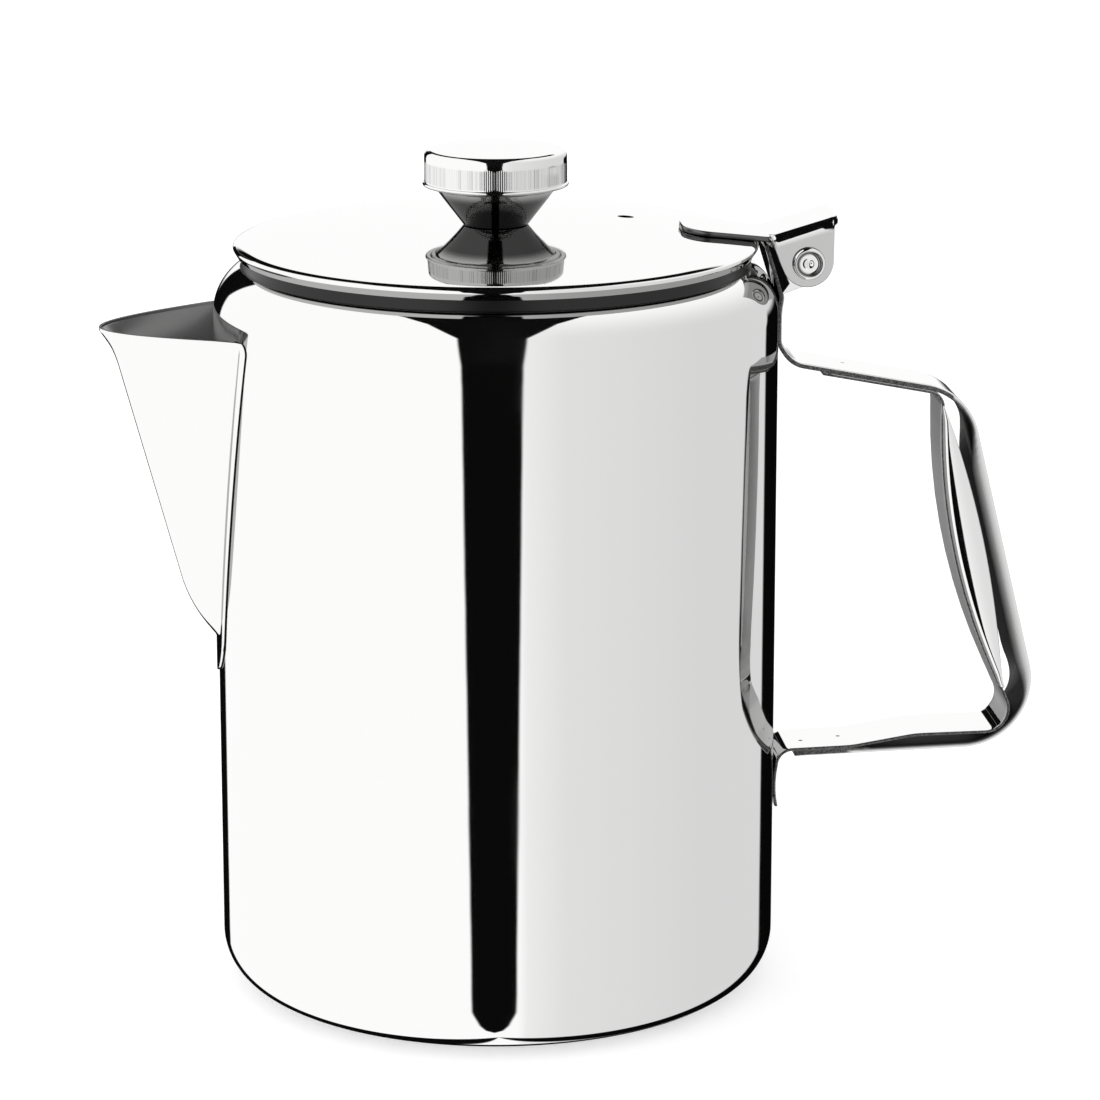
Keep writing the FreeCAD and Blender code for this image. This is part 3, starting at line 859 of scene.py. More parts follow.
@dataclass(frozen=True)
class Strap:
    """Bent strip of the handle: edges in painted shade with a scuffed grain, a darker grip face.

    Attributes:
        name: Name of the object.
        corners: Corner points (x, z) of the middle line.
        bends: Bend radii.
        sheet: Thickness.
        wrap: Heights between which the strap hugs the wall.
        shade_and_satin_from: Reach where the inner face turns darker.
        shade_and_satin: How much darker it is there: painted shade in the gap on the outer strap,
            a greyer satin on the inner one.
        arm_lead: How much sooner that starts on the lower arm, which stays bright where it is 0.
        lip: Height of the turned-in edges on the grip.
        narrow: Heights between which the strap is narrowed for its folds, if any.
        half: Half of the width.
        edge: Radius of the long edges.
        edge_share: Largest share of the thickness that this radius takes.
        edge_band: Width of the band along the edges painted dark as shade, with a scuffed grain.
        bright_share: Level in the thickness below which an edge is painted dark as shade, and how
            much lower that is on a grip with turned-in edges.
        narrowing: How much the half width shrinks for the folds.
        narrow_ramp: Run over which it shrinks.
        wrap_ramp: Run over which the strap comes to hug the wall.
        wall_zone: Reach up to which it may hug the wall.
        lip_width: Width of the turned-in edges.
        lip_range: Heights between which the edges are turned in, and the run of both ends.
        shade_and_satin_ramp: Run over which the inner face turns darker.
        arm_top: Height up to which the strap is the lower arm.
        spacing: Largest distance between rows of points.
        turn_step: Degrees of turn between rows on a bend.
    """

    name: str
    corners: tuple
    bends: tuple
    sheet: float
    wrap: tuple
    shade_and_satin_from: float
    shade_and_satin: float
    arm_lead: float = 0.0
    lip: float = 0.0
    narrow: tuple = ()
    half: float = 8.0
    edge: float = 0.25
    edge_share: float = 0.4
    edge_band: float = 0.12
    bright_share: tuple = (0.3, 0.7)
    narrowing: float = 0.78
    narrow_ramp: float = 3.0
    wrap_ramp: float = 4.0
    wall_zone: float = 69.0
    lip_width: float = 1.0
    lip_range: tuple = (62.0, 130.0, 12.0)
    shade_and_satin_ramp: float = 4.0
    arm_top: float = 58.0
    spacing: float = 2.0
    turn_step: float = 3.0

    def turned_in(self, line: np.ndarray, section: np.ndarray, in_grip: np.ndarray) -> np.ndarray:
        """Shift of each point that turns the strap's edges in on the grip.

        Args:
            line: Middle line, shape (n, 2).
            section: Outline of the strip, shape (m, 2).
            in_grip: Share of the grip's look at each point of the line.

        Returns:
            Array of shape (n + 2, m, 3).
        """
        at_lip = (section[:, 1] < 0) & (np.abs(section[:, 0]) > self.half - self.lip_width)
        along = np.pad(in_grip * plateau(*self.lip_range, line[:, 1]), 1)
        fall = self.lip * along[:, None] * at_lip
        normal = np.pad(left_normals(line), ((1, 1), (0, 0)))
        return -np.stack([fall * normal[:, :1], 0 * fall, fall * normal[:, 1:]], -1)

    def build(self) -> bpy.types.Object:
        """Makes the strap: a strip swept along its bent line and wrapped round the wall.

        Returns:
            The strap's object.
        """
        line = resample(bent_line(self.corners, self.bends, self.turn_step), self.spacing)
        edge = min(self.edge, self.sheet * self.edge_share)
        section = rounded_box(self.half, self.sheet / 2, edge)
        narrowed = np.zeros(len(line))
        if self.narrow:
            narrowed = plateau(*self.narrow, self.narrow_ramp, line[:, 1])
        points = swept_grid(line, section, 1 - narrowed * self.narrowing / self.half)
        low_arm = line[:, 1] < self.arm_top
        start = line[:, 0] + low_arm * self.arm_lead
        in_grip = smooth(self.shade_and_satin_from, self.shade_and_satin_from + self.shade_and_satin_ramp, start)
        if not self.arm_lead:
            in_grip = np.where(low_arm, 0, in_grip)
        points = points + self.turned_in(line, section, in_grip)
        near = plateau(*self.wrap, self.wrap_ramp, points[..., 2])
        near = (points[..., 0] < self.wall_zone) * near
        points[..., 0] -= near * (BODY_RADIUS - np.sqrt(BODY_RADIUS**2 - points[..., 1] ** 2))
        grip = np.pad(in_grip, 1)[:, None]
        level, lowered = self.bright_share
        bright_from = self.sheet * (level - lowered * grip * (self.lip > 0))
        at_edge = np.abs(section[:, 0]) > self.half - self.edge_band
        # Long edges painted dark as shade with a scuffed grain, but for a bright outer strip.
        # The grip face is darker: painted shade on the outer strap, greyer satin on the inner one.
        values = {"cut_edge": at_edge & (section[:, 1] < bright_from),
                  "shade": self.shade_and_satin * grip * (section[:, 1] < 0)}
        return grid_object(self.name, points, False, True, values)


@dataclass
class Handle:
    """Two straps: an outer one from the hinge round the grip, an inner one with folded edges."""

    # Outer strap: grip face painted dark as shade in the gap. Inner strap: greyer satin web.
    outer: Strap = Strap(
        "outer_strap_visual",
        corners=((60.8, 171.8), (64.25, 160.5), (64.25, 144.92), (107.29, 136.70),
                 (127.32, 53.68), (68.6, 52.12)),
        bends=(8.0, 6.6, 14.4, 15.4),
        sheet=1.2, wrap=(146.0, 160.0), shade_and_satin_from=104.0, shade_and_satin=0.94, arm_lead=22.0, lip=2.2)
    inner: Strap = Strap(
        "inner_strap_visual",
        corners=((74.0, 142.04), (101.85, 136.72), (101.85, 98.85), (121.73, 56.2),
                 (97.0, 55.87), (82.0, 53.47), (64.4, 53.0), (64.4, 39.5)),
        bends=(3.8, 145.0, 5.4, 25.0, 25.0, 3.7),
        sheet=0.7, wrap=(39.0, 50.0), shade_and_satin_from=99.0, shade_and_satin=0.27, narrow=(65.0, 135.0))
    cheek: float = 5.0
    cheek_edge: float = 0.25
    bore: float = 2.05
    fold_top: float = 134.0
    fold_bottom: float = 66.0
    fold_depth: float = 7.0
    fold_bend: float = 1.3
    fold_sheet: float = 0.5
    fold_bow: float = 0.35
    fold_ends: float = 1.2
    fold_least: float = 0.15
    fold_power: float = 0.6
    fold_share: float = 0.8
    fold_edge: float = 0.97
    fold_points: int = 25
    fold_spacing: float = 0.6
    fold_turn: float = 1.0

    def fold(self, side: int) -> bpy.types.Object:
        """Folded edge of the inner strap's grip: a bend, then a slightly bowed lens-shaped flap.

        The flap is web(s) + n(s) * depth(s) * q, with Y following a quarter bend and a low bow
        in q.

        Args:
            side: 1 or -1, the sign of Y.

        Returns:
            The fold's object.
        """
        web = bent_line(self.inner.corners, self.inner.bends, self.fold_turn)
        web = resample(web, self.fold_spacing)
        web = web[(web[:, 1] < self.fold_top) & (web[:, 1] > self.fold_bottom)]
        normal = left_normals(web)
        share = (self.fold_top - web[:, 1]) / (self.fold_top - self.fold_bottom)
        chord = web[0] + (web[-1] - web[0]) * share[:, None]
        ends = self.fold_ends * np.sin(np.pi * share) ** self.fold_power
        depth = np.linalg.norm(web - chord, axis=1) + ends
        depth = np.maximum(depth, self.fold_least)[:, None]
        depth *= self.fold_depth / depth.max()
        q = np.linspace(0, 1, self.fold_points)
        run = depth * q
        bend = np.minimum(self.fold_bend, depth * self.fold_share)
        rise = np.sqrt(np.maximum(bend**2 - (bend - run) ** 2, 0))
        rise = np.where(run < bend, rise, bend)
        bow = self.fold_bow * np.sin(np.pi * q) * depth / self.fold_depth
        y = side * (self.inner.half - bend + rise - self.inner.sheet / 2 + bow)
        x, z = (web[:, k:k + 1] + normal[:, k:k + 1] * run for k in range(2))
        # The flap's free edge is painted dark as shade, with a scuffed grain.
        values = {"cut_edge": q > self.fold_edge}
        return sheet_object("inner_strap_fold_" + side_name(side), np.stack([x, y, z], -1),
                            (0, side, 0), self.fold_sheet, 0.0, values=values)

    def build(self) -> tuple:
        """Makes the straps, the hinge cheeks and the folds.

        Returns:
            List of the outer strap's objects and list of the inner strap's.
        """
        outer = [self.outer.build()]
        outline = hull_outline(PIN, self.cheek, [self.outer.corners[1], self.outer.corners[0]])
        for side in (-1, 1):
            faces = (side * self.outer.half, side * (self.outer.half - self.outer.sheet))
            grid = plate_grid(outline, PIN, self.bore, sorted(faces), self.cheek_edge)
            outer.append(grid_object("hinge_cheek_" + side_name(side), grid, True, True))
        return outer, [self.inner.build()] + [self.fold(side) for side in (-1, 1)]


@dataclass
class Lid:
    """Shallow dome with a turned-down edge."""

    radius: float = 59.3
    wall: float = 0.8
    crown: float = 176.56
    dome: float = 473.9
    foot: float = 170.07
    shoulder: float = 3.5
    edge: float = 0.6
    turn: float = 58.0
    lean: float = 33.0
    hole: float = 2.2
    vent: float = 1.9
    vent_at: tuple = (31.0, 13.0)
    under_dullness: float = 0.5
    least_edge: float = 0.1
    dome_points: int = 40
    arc_points: int = 9
    spacing: float = 3.0
    vent_slack: float = 1.0

    def face(self, inset: float) -> np.ndarray:
        """Face from the screw hole out to the side: a dome, a soft shoulder and a tighter edge.

        Args:
            inset: Depth below the upper face.

        Returns:
            Array of shape (n, 2) of radius and height.
        """
        sphere = self.dome - inset
        soft, tight = self.shoulder - inset, max(self.edge - inset, self.least_edge)
        turn = math.radians(self.turn)
        edge_r = self.radius - inset - tight
        soft_r = edge_r - (soft - tight) * math.cos(turn)
        centre = self.crown - self.dome
        soft_z = centre + math.sqrt((sphere - soft) ** 2 - soft_r**2)
        edge_z = soft_z + (soft - tight) * math.sin(turn)
        tilt = math.asin(soft_r / (sphere - soft))
        r = np.linspace(self.hole, sphere * math.sin(tilt), self.dome_points)
        top = np.stack([r, centre + np.sqrt(sphere**2 - r**2)], -1)
        start = 90 - math.degrees(tilt)
        first = arc(soft_r, soft_z, soft, start, self.turn, self.arc_points)
        second = arc(edge_r, edge_z, tight, self.turn, -self.lean, self.arc_points)
        return np.concatenate([top[:-1], first, second[1:]])

    def profile(self) -> np.ndarray:
        """Closed wall from the screw hole over the top, round the edge and back underneath.

        The dome runs into a soft shoulder, a tighter edge and a side that leans in towards the hem.

        Returns:
            Array of shape (n, 2) of radius and height.
        """
        upper, lower = self.face(0.0), self.face(self.wall)
        hem = self.wall / 2
        side_r, side_z = upper[-1]
        lean_in = (side_z - self.foot - hem) * math.tan(math.radians(self.lean))
        foot_r, foot_z = side_r - lean_in - hem, self.foot + hem
        foot = arc(foot_r, foot_z, hem, -self.lean, -180, self.arc_points)
        loop = np.concatenate([upper, foot, lower[::-1], upper[:1]])
        return resample(loop, self.spacing)[:-1]

    def build(self) -> list:
        """Makes the shell, turned about Z, darker and duller underneath, with a vent hole.

        Returns:
            List with the lid's object.
        """
        profile = self.profile()
        under = np.arange(len(profile)) > np.argmin(profile[:, 1])
        values = {"shade": self.under_dullness * under[:, None]}
        shell = grid_object("lid_visual", turned_grid(profile, ROUND_STEPS), True, True, values)
        span = (self.foot - self.vent_slack, self.crown + self.vent_slack)
        drill(shell, 2, [self.vent_at], self.vent, span)
        return [shell]


@dataclass
class Knob:
    """Cap with a knurled skirt and a rolled lip on a plain cone."""

    radius: float = 16.1
    lip: float = 16.5
    roll: float = 0.45
    top: float = 194.09
    skirt: float = 185.49
    crown: float = 0.4
    corner: float = 1.6
    wall: float = 0.8
    bore: float = 15.2
    bore_corner: tuple = (2.4, 2.6)
    knurl: tuple = (186.5, 191.2)
    knurl_ramp: float = 0.3
    teeth: int = 210
    tooth_points: int = 6
    tooth_depth: float = 0.03
    # Least and extra painted shade in the knurl's grooves.
    groove_shade: tuple = (0.1, 0.4)
    groove_shade_seed: int = 5
    groove_power: float = 0.8
    uneven: tuple = (0.35, 7.0, 1.3, 31.0)
    cap_points: tuple = (12, 14, 34, 9)
    lip_sweep: tuple = (70.0, -90.0)
    side_slack: float = 0.01
    foot: float = 176.6
    foot_radius: float = 7.3
    cone_radius: float = 13.9
    cone_top: float = 185.19
    cone_rim: float = 15.1
    cone_bore: float = 2.2
    cone_inset: tuple = (0.4, 0.5)
    cone_bends: tuple = (0.4, 1.2, 0.2, 0.2, 0.6, 0.5)
    # Painted shade on the cone, deep low down and pale at the rim under the cap.
    cone_shade: tuple = (0.9, 0.15)
    cone_bright: float = 2.6
    cone_spacing: float = 1.0

    def cap_profile(self) -> np.ndarray:
        """Cap from its crown over the corner, down the skirt, round the lip and up the inside.

        Returns:
            Array of shape (n, 2) of radius and height.
        """
        edge = self.top - self.crown
        roof = edge - self.wall
        n_crown, n_corner, n_side, n_lip = self.cap_points
        flat = np.linspace(0, self.radius - self.corner, n_crown)
        crown = np.stack([flat, self.top - self.crown * (flat / flat[-1]) ** 2], -1)
        corner = arc(self.radius - self.corner, edge - self.corner, self.corner, 90, 0, n_corner)
        side_z = np.linspace(edge - self.corner, self.skirt + 2 * self.roll, n_side)
        side = np.stack([np.full_like(side_z, self.radius), side_z], -1)
        lip_r, lip_z = self.lip - self.roll, self.skirt + self.roll
        lip = arc(lip_r, lip_z, self.roll, *self.lip_sweep, n_lip)
        in_r, in_z = self.bore_corner
        under = [(self.lip - 2 * self.roll, self.skirt), (self.bore, self.skirt),
                 (self.bore, roof - in_z), (self.bore - in_r, roof), (0, roof)]
        return np.concatenate([crown, corner[1:], side[1:], lip, np.array(under)])

    def cap(self) -> bpy.types.Object:
        """Makes the cap.

        It is a surface of revolution whose skirt radius is r - d * |sin(n t / 2)| ** p between
        the knurl's heights, faded at both ends, with uneven depth from tooth to tooth, and with
        painted shade in the grooves that is heavier in some teeth than others at random.

        Returns:
            The cap's object.
        """
        profile = self.cap_profile()
        grid = turned_grid(profile, self.teeth * self.tooth_points)
        angle = np.linspace(0, 2 * np.pi, grid.shape[1], endpoint=False)
        on_side = np.abs(profile[:, 0] - self.radius) < self.side_slack
        fade = (on_side * plateau(*self.knurl, self.knurl_ramp, profile[:, 1]))[:, None]
        wave = np.abs(np.sin(self.teeth * angle / 2))
        share, slow, phase, fast = self.uneven
        uneven = 1 + share * np.sin(slow * angle + phase) * np.sin(fast * angle)
        groove = self.tooth_depth * uneven * wave**self.groove_power
        grid[..., :2] *= (1 - fade * groove / self.radius)[..., None]
        # Painted shade in the knurl's grooves, heavier in some teeth than others at random.
        tooth = np.floor(self.teeth * angle / (2 * np.pi)).astype(int)
        uneven_shade = np.random.default_rng(self.groove_shade_seed).uniform(0, 1, self.teeth + 1)[tooth]
        least, gain = self.groove_shade
        values = {"shade": fade * (least + gain * uneven_shade**2) * wave}
        return grid_object("knob_cap_visual", grid, False, True, values)

    def cone(self) -> bpy.types.Object:
        """Makes the hollow cone, turned about Z, in painted shade that fades at its rim under the
        cap.

        Returns:
            The cone's object.
        """
        floor, rim_top = self.foot + self.wall, self.cone_top + self.wall
        foot_inset, top_inset = self.cone_inset
        corners = [(self.cone_bore, self.foot), (self.foot_radius, self.foot),
                   (self.cone_radius, self.cone_top), (self.cone_rim, self.cone_top),
                   (self.cone_rim, rim_top), (self.cone_radius - top_inset, rim_top),
                   (self.foot_radius - foot_inset, floor), (self.cone_bore, floor)]
        line = bent_line(corners, self.cone_bends)
        line = resample(np.concatenate([line, line[:1]]), self.cone_spacing)[:-1]
        # Painted shade from the cap above: deep low down, fading towards the rim.
        deep, pale = self.cone_shade
        up = smooth(self.cone_top - self.cone_bright, self.cone_top, line[:, 1:])
        values = {"shade": deep - (deep - pale) * up}
        grid = turned_grid(line, ROUND_STEPS // 2)
        return grid_object("knob_cone_visual", grid, True, True, values)


@dataclass
class Hinge:
    """Bracket on the lid with a thumb plate and two ears, and the rivet through them."""

    lid: Lid = field(default_factory=Lid)
    sheet: float = 1.2
    seat_gap: float = 0.03
    strip_end: float = 42.0
    end_gap: float = 0.05
    strip_half: float = 8.6
    strip_round: float = 6.0
    strip_share: float = 0.3
    strip_bend: float = 3.0
    bend_x: float = 61.0
    plate_end: float = 76.6
    plate_round: float = 0.9
    plate_share: float = 0.86
    rise: float = 0.292
    fold_run: tuple = (-0.2, 0.9)
    outer: float = 9.5
    bend: float = 1.6
    edge_bulge: float = 0.25
    ear: float = 5.9
    ear_back: float = 61.6
    ear_front: float = 76.0
    ear_inset: float = 1.0
    # Painted shade on the sheet's cut edge.
    edge_shade: float = 0.85
    ear_dullness: float = 0.32
    ear_dull_run: tuple = (1.0, 2.4)
    shank: float = 2.0
    head: float = 3.7
    head_height: float = 1.1
    head_seat: tuple = (0.25, 0.02)
    head_rounds: tuple = (0.3, 0.55)
    dish: tuple = ((2.7, 0.0), (2.45, 0.28), (1.5, 0.3), (0.9, 0.25), (0.45, 0.6), (0.0, 0.75))
    groove: tuple = (2.3, 2.75)
    under_from: float = 2.9
    under_height: float = 0.4
    # Painted shade in the heads' ring grooves and round their feet.
    rivet_shade: float = 0.9
    ear_slack: float = 1.0
    spacing: float = 0.25
    turn_step: float = 2.0
    columns: int = 60
    rim_from: float = 0.999
    least_turn: float = 1e-3
    rivet_spacing: float = 0.6
    rivet_sides: int = 64

    def strip_z(self, x: float) -> float:
        """Height of the strip's middle line, which lies along the lid's tangent.

        Args:
            x: Reach from the axis.

        Returns:
            Height there.
        """
        contact = (self.strip_end + self.lid.radius) / 2
        drop = math.sqrt(self.lid.dome**2 - contact**2)
        face = self.lid.crown - self.lid.dome + drop - contact / drop * (x - contact)
        return face + self.seat_gap + self.sheet / 2

    def plate_z(self, x: float) -> float:
        """Height of the thumb plate's middle line."""
        return self.strip_z(self.bend_x) + self.rise * (x - self.bend_x)

    def ear_drop(self, line: np.ndarray, normal: np.ndarray) -> np.ndarray:
        """Length of the ear below the thumb plate, measured square to it.

        Args:
            line: Middle line of the strip and the plate, shape (n, 2).
            normal: Normals of the line.

        Returns:
            Length for each point, from the line to the far side of the ear's outline.
        """
        top = [(x, self.plate_z(x) - self.ear_inset) for x in (self.ear_back, self.ear_front)]
        outline = hull_outline(PIN, self.ear, top)
        edge = (np.roll(outline, -1, 0) - outline)[None]
        way = outline[None] - line[:, None]
        down = -normal[:, None]

        def cross(a: np.ndarray, b: np.ndarray) -> np.ndarray:
            """Cross product of plane vectors."""
            return a[..., 0] * b[..., 1] - a[..., 1] * b[..., 0]

        area = cross(down, edge)
        area = np.where(np.abs(area) < TINY, TINY, area)
        share = cross(way, down) / area
        return np.where((share >= 0) & (share <= 1), cross(way, edge) / area, 0).max(1)

    def bracket(self) -> list:
        """Makes the strip, the thumb plate and the ears as one folded sheet.

        Across the sheet the length l runs flat up to the fold, then round it, then straight down:
        Y = min(l, a) + r sin(q) + rest cos(q) and drop = r (1 - cos(q)) + rest sin(q), with q the
        angle reached on the fold.

        Returns:
            List with the bracket's object.
        """
        start = self.strip_end + self.end_gap
        corners = [(start, self.strip_z(start)), (self.bend_x, self.strip_z(self.bend_x)),
                   (self.plate_end, self.plate_z(self.plate_end))]
        line = resample(bent_line(corners, [self.strip_bend], self.turn_step), self.spacing)
        normal = left_normals(line)
        along = np.concatenate([[0], np.cumsum(np.linalg.norm(np.diff(line, axis=0), axis=1))])
        round_in = quarter_round(along / self.strip_round)
        round_out = quarter_round((along[-1] - along) / self.plate_round)
        folded = smooth(*(self.bend_x + x for x in self.fold_run), line[:, 0])
        half = self.sheet / 2
        radius, flat = self.bend - half, self.outer - self.bend
        wide = self.strip_half * (self.strip_share + (1 - self.strip_share) * round_in)
        ear = np.maximum(self.ear_drop(line, normal) - self.bend, 0)
        reach = wide + folded * (flat + radius * math.pi / 2 + ear - wide)
        reach = reach * (self.plate_share + (1 - self.plate_share) * round_out)
        u = np.append(np.linspace(0, self.rim_from, self.columns), 1.0)
        length = reach[:, None] * u
        past = np.maximum(length - flat, 0)
        turn = np.maximum(folded, self.least_turn)[:, None] * math.pi / 2
        angle = np.minimum(past / radius, turn)
        rest = past - angle * radius
        sides = []
        for offset in (half, -half):
            bent = radius + offset
            across = np.minimum(length, flat) + bent * np.sin(angle) + rest * np.cos(angle)
            fall = bent * (1 - np.cos(angle)) + rest * np.sin(angle) - offset
            sides.append((across, fall))
        last = angle[:, -1:]
        halves = []
        for upper, lower, out in zip(*sides, (np.cos(last), np.sin(last))):
            rim = (upper[:, -1:] + lower[:, -1:]) / 2 + self.edge_bulge * out
            halves.append(np.concatenate([upper, rim, lower[:, ::-1]], 1))
        y = np.concatenate([halves[0], -halves[0][:, ::-1]], 1)
        fall = np.concatenate([halves[1], halves[1][:, ::-1]], 1)
        x, z = (line[:, k:k + 1] - normal[:, k:k + 1] * fall for k in range(2))
        points = closed_strip(line, np.stack([x, y, z], -1))
        # The sheet's cut edge is painted dark as shade; the ears' faces are a darker, duller
        # finish.
        column = np.arange(y.shape[1]) % (2 * len(u) + 1)
        edges = self.edge_shade * (np.abs(column - len(u)) <= 1)
        on_ear = np.abs(y) > flat + self.ear_slack
        ears = self.ear_dullness * smooth(*self.ear_dull_run, fall) * on_ear
        values = {"shade": np.pad(np.maximum(edges, ears), ((1, 1), (0, 0)))}
        return [grid_object("bracket_sheet", points, False, True, values)]

    def rivet(self) -> list:
        """Makes the pin with a ringed, dimpled head on each side, turned about the Y axis.

        Returns:
            List with the rivet's object.
        """
        face = self.outer + self.head_height
        inset, sunk = self.head_seat
        foot, lip = self.head_rounds
        stem = [(self.shank, 0.0), (self.shank, self.outer - sunk),
                (self.head - inset, self.outer - sunk)]
        rounds = [arc(self.head - foot, self.outer + foot, foot, -60, 0, 4),
                  arc(self.head - lip, face - lip, lip, 0, 90, 8)]
        dish = [(r, face - depth) for r, depth in self.dish]
        side = np.concatenate([np.array(stem), *rounds, np.array(dish)])
        both = np.concatenate([side[::-1] * [1, -1], side[1:]])
        profile = resample(both, self.rivet_spacing)
        x, z, y = np.moveaxis(turned_grid(profile, self.rivet_sides), -1, 0)
        r, reach = profile[:, 0], np.abs(profile[:, 1])
        # Painted shade in each head's ring groove and round its foot against the ear.
        ring = (r > self.groove[0]) & (r < self.groove[1]) & (reach > self.outer)
        under = (r > self.under_from) & (reach < self.outer + self.under_height)
        values = {"shade": self.rivet_shade * (ring | under)[:, None]}
        moved = np.stack([x + PIN[0], y, z + PIN[1]], -1)
        return [grid_object("hinge_rivet", moved, False, True, values)]


@dataclass
class Studio:
    """Pale floor, white surround, the camera and what the steel mirrors.

    Places are in metres, and angles in degrees apart from yaw, which is in radians. The flags are
    ranges of the face direction that would mirror them to the camera, some with their softness
    last: around is its angle to the right of the camera, and rise its elevation.
    """

    camera_at: tuple = (-0.08716, -0.99619, 0.3532)
    turn: float = 5.0
    yaw: float = 0.01223
    pitch: float = 14.176
    lens: float = 146.94
    sensor: float = 36.0
    clip_start: float = 0.01
    floor_half: float = 3.0
    floor_glow: float = 0.25
    stripe_at: float = -0.8
    stripe_soft: float = 0.35
    stripe: tuple = ((-33.0, -2.0), (-30.5, 0.0), (-27.0, 1.8), (-20.0, 3.0), (-14.0, 3.5),
                     (-4.0, 4.5), (-2.6, 4.65), (1.2, 6.2), (30.0, 7.2), (45.0, 14.0), (52.0, 20.0),
                     (58.0, 28.0), (62.0, 36.0), (77.0, 36.0), (80.0, -2.0))
    ring_rise: tuple = (60.0, 77.0, 0.8)
    ring_around: tuple = (-86.0, 62.0, 3.0)
    band: tuple = ((0.0, -79.5), (10.0, -77.4), (35.0, -76.0), (60.0, -69.7))
    band_soft: float = 0.6
    band_start: tuple = (-89.2, -88.0)
    band_rise: tuple = (5.0, 61.0, 2.0)
    under_rise: tuple = (-59.0, -57.0)
    right_flag: tuple = (142.0, 171.0, 1.2)
    left_flag: tuple = (-176.5, -153.0, 1.0)
    flag_top: tuple = (-0.1, 0.0)
    grey: tuple = ((4.0, 0.0), (6.0, 0.14), (14.0, 0.24), (45.0, 0.31), (86.0, 0.31), (88.0, 0.0))
    grey_top: tuple = (25.0, 60.0)
    darkness: float = 0.997
    second_loss: float = 0.55

    def camera(self) -> None:
        """Places the camera at the photo's view."""
        data = bpy.data.cameras.new("camera")
        data.lens = self.lens
        data.sensor_width = self.sensor
        data.clip_start = self.clip_start
        obj = bpy.data.objects.new("camera", data)
        bpy.context.scene.collection.objects.link(obj)
        around = Matrix.Rotation(-math.radians(self.turn) - self.yaw, 4, "Z")
        level = Matrix.Rotation(math.radians(90 - self.pitch), 4, "X")
        obj.matrix_world = Matrix.Translation(Vector(self.camera_at)) @ around @ level
        bpy.context.scene.camera = obj

    def floor(self) -> None:
        """Adds a plain pale floor that keeps the soft shadow."""
        mesh = bpy.data.meshes.new("floor")
        s = self.floor_half
        mesh.from_pydata([(-s, -s, 0), (s, -s, 0), (s, s, 0), (-s, s, 0)], [], [(0, 1, 2, 3)])
        obj = bpy.data.objects.new("floor", mesh)
        bpy.context.scene.collection.objects.link(obj)
        obj.visible_glossy = False
        mat = bpy.data.materials.new("floor")
        mat.use_nodes = True
        Graph(mat.node_tree).fill(mat.node_tree.nodes["Principled BSDF"], {
            "Base Color": (1, 1, 1, 1), "Roughness": 1.0, "Specular IOR Level": 0.0,
            "Emission Color": (1, 1, 1, 1), "Emission Strength": self.floor_glow,
        })
        mesh.materials.append(mat)

    def surround(self, g: Graph) -> bpy.types.NodeSocket:
        """Brightness of what the steel mirrors: dark flags and a grey right side on white.

        The pattern is laid over the direction half-way between the ray and the camera, apart from
        the two flags at the sides, which follow the ray itself.

        Args:
            g: The world's graph.

        Returns:
            The brightness.
        """
        turn, tilt = math.radians(self.turn), math.radians(self.pitch)
        towards = Vector((-math.sin(turn), -math.cos(turn), 0))
        camera = towards * math.cos(tilt) + Vector((0, 0, math.sin(tilt)))
        ray = g.add("TexCoord").outputs["Generated"]
        face = g.add("VectorMath", {0: ray, 1: camera}, operation="ADD").outputs[0]
        right = g.dot(face, (math.cos(turn), -math.sin(turn), 0))
        front = g.dot(face, towards)
        up = g.add("SeparateXYZ", {0: face}).outputs[2]
        square = g.math("MULTIPLY_ADD", right, right, g.math("MULTIPLY", front, front))
        flat = g.math("SQRT", square)
        around, rise = g.degrees(right, front), g.degrees(up, flat)

        off = g.math("ABSOLUTE", g.math("SUBTRACT", around, self.stripe_at))
        past = g.math("SUBTRACT", off, g.curve(rise, self.stripe))
        stripe = g.invert(g.step(past, -self.stripe_soft, self.stripe_soft))
        ring = g.between(rise, *self.ring_rise)
        ring = g.math("MULTIPLY", ring, g.between(around, *self.ring_around))
        past = g.math("SUBTRACT", around, g.curve(rise, self.band))
        band = g.invert(g.step(past, -self.band_soft, self.band_soft))
        band = g.math("MULTIPLY", band, g.step(around, *self.band_start))
        band = g.math("MULTIPLY", band, g.between(rise, *self.band_rise))
        under = g.invert(g.step(rise, *self.under_rise))
        away = g.degrees(right, g.math("SUBTRACT", front, math.cos(tilt)))
        sides = g.between(away, *self.right_flag)
        sides = g.math("MAXIMUM", sides, g.between(away, *self.left_flag))
        height = g.math("SUBTRACT", up, math.sin(tilt))
        sides = g.math("MULTIPLY", sides, g.invert(g.step(height, *self.flag_top)))
        dark = stripe
        for flag in (ring, band, under, sides):
            dark = g.math("MAXIMUM", dark, flag)
        low = g.invert(g.step(rise, *self.grey_top))
        grey = g.math("MULTIPLY", g.curve(around, self.grey), low)
        dark = g.math("MULTIPLY", dark, self.darkness)
        return g.math("MULTIPLY", g.invert(grey), g.invert(dark))

    def world(self) -> None:
        """Builds the surround: white to the eye, patterned in the steel, darker mirrored twice."""
        world = bpy.data.worlds.new("studio")
        bpy.context.scene.world = world
        world.use_nodes = True
        g = Graph(world.node_tree)
        path = g.add("LightPath").outputs
        loss = g.math("MULTIPLY", g.step(path["Glossy Depth"], 1.0, 2.0), self.second_loss)
        level = g.math("MULTIPLY", self.surround(g), g.invert(loss))
        mix = {"Factor": path["Is Glossy Ray"], "A": 1.0, "B": level}
        seen = g.add("Mix", mix, data_type="FLOAT").outputs[0]
        colour = g.add("CombineColor", {0: seen, 1: seen, 2: seen}).outputs[0]
        g.fill(world.node_tree.nodes["Background"], {"Color": colour, "Strength": 1.0})

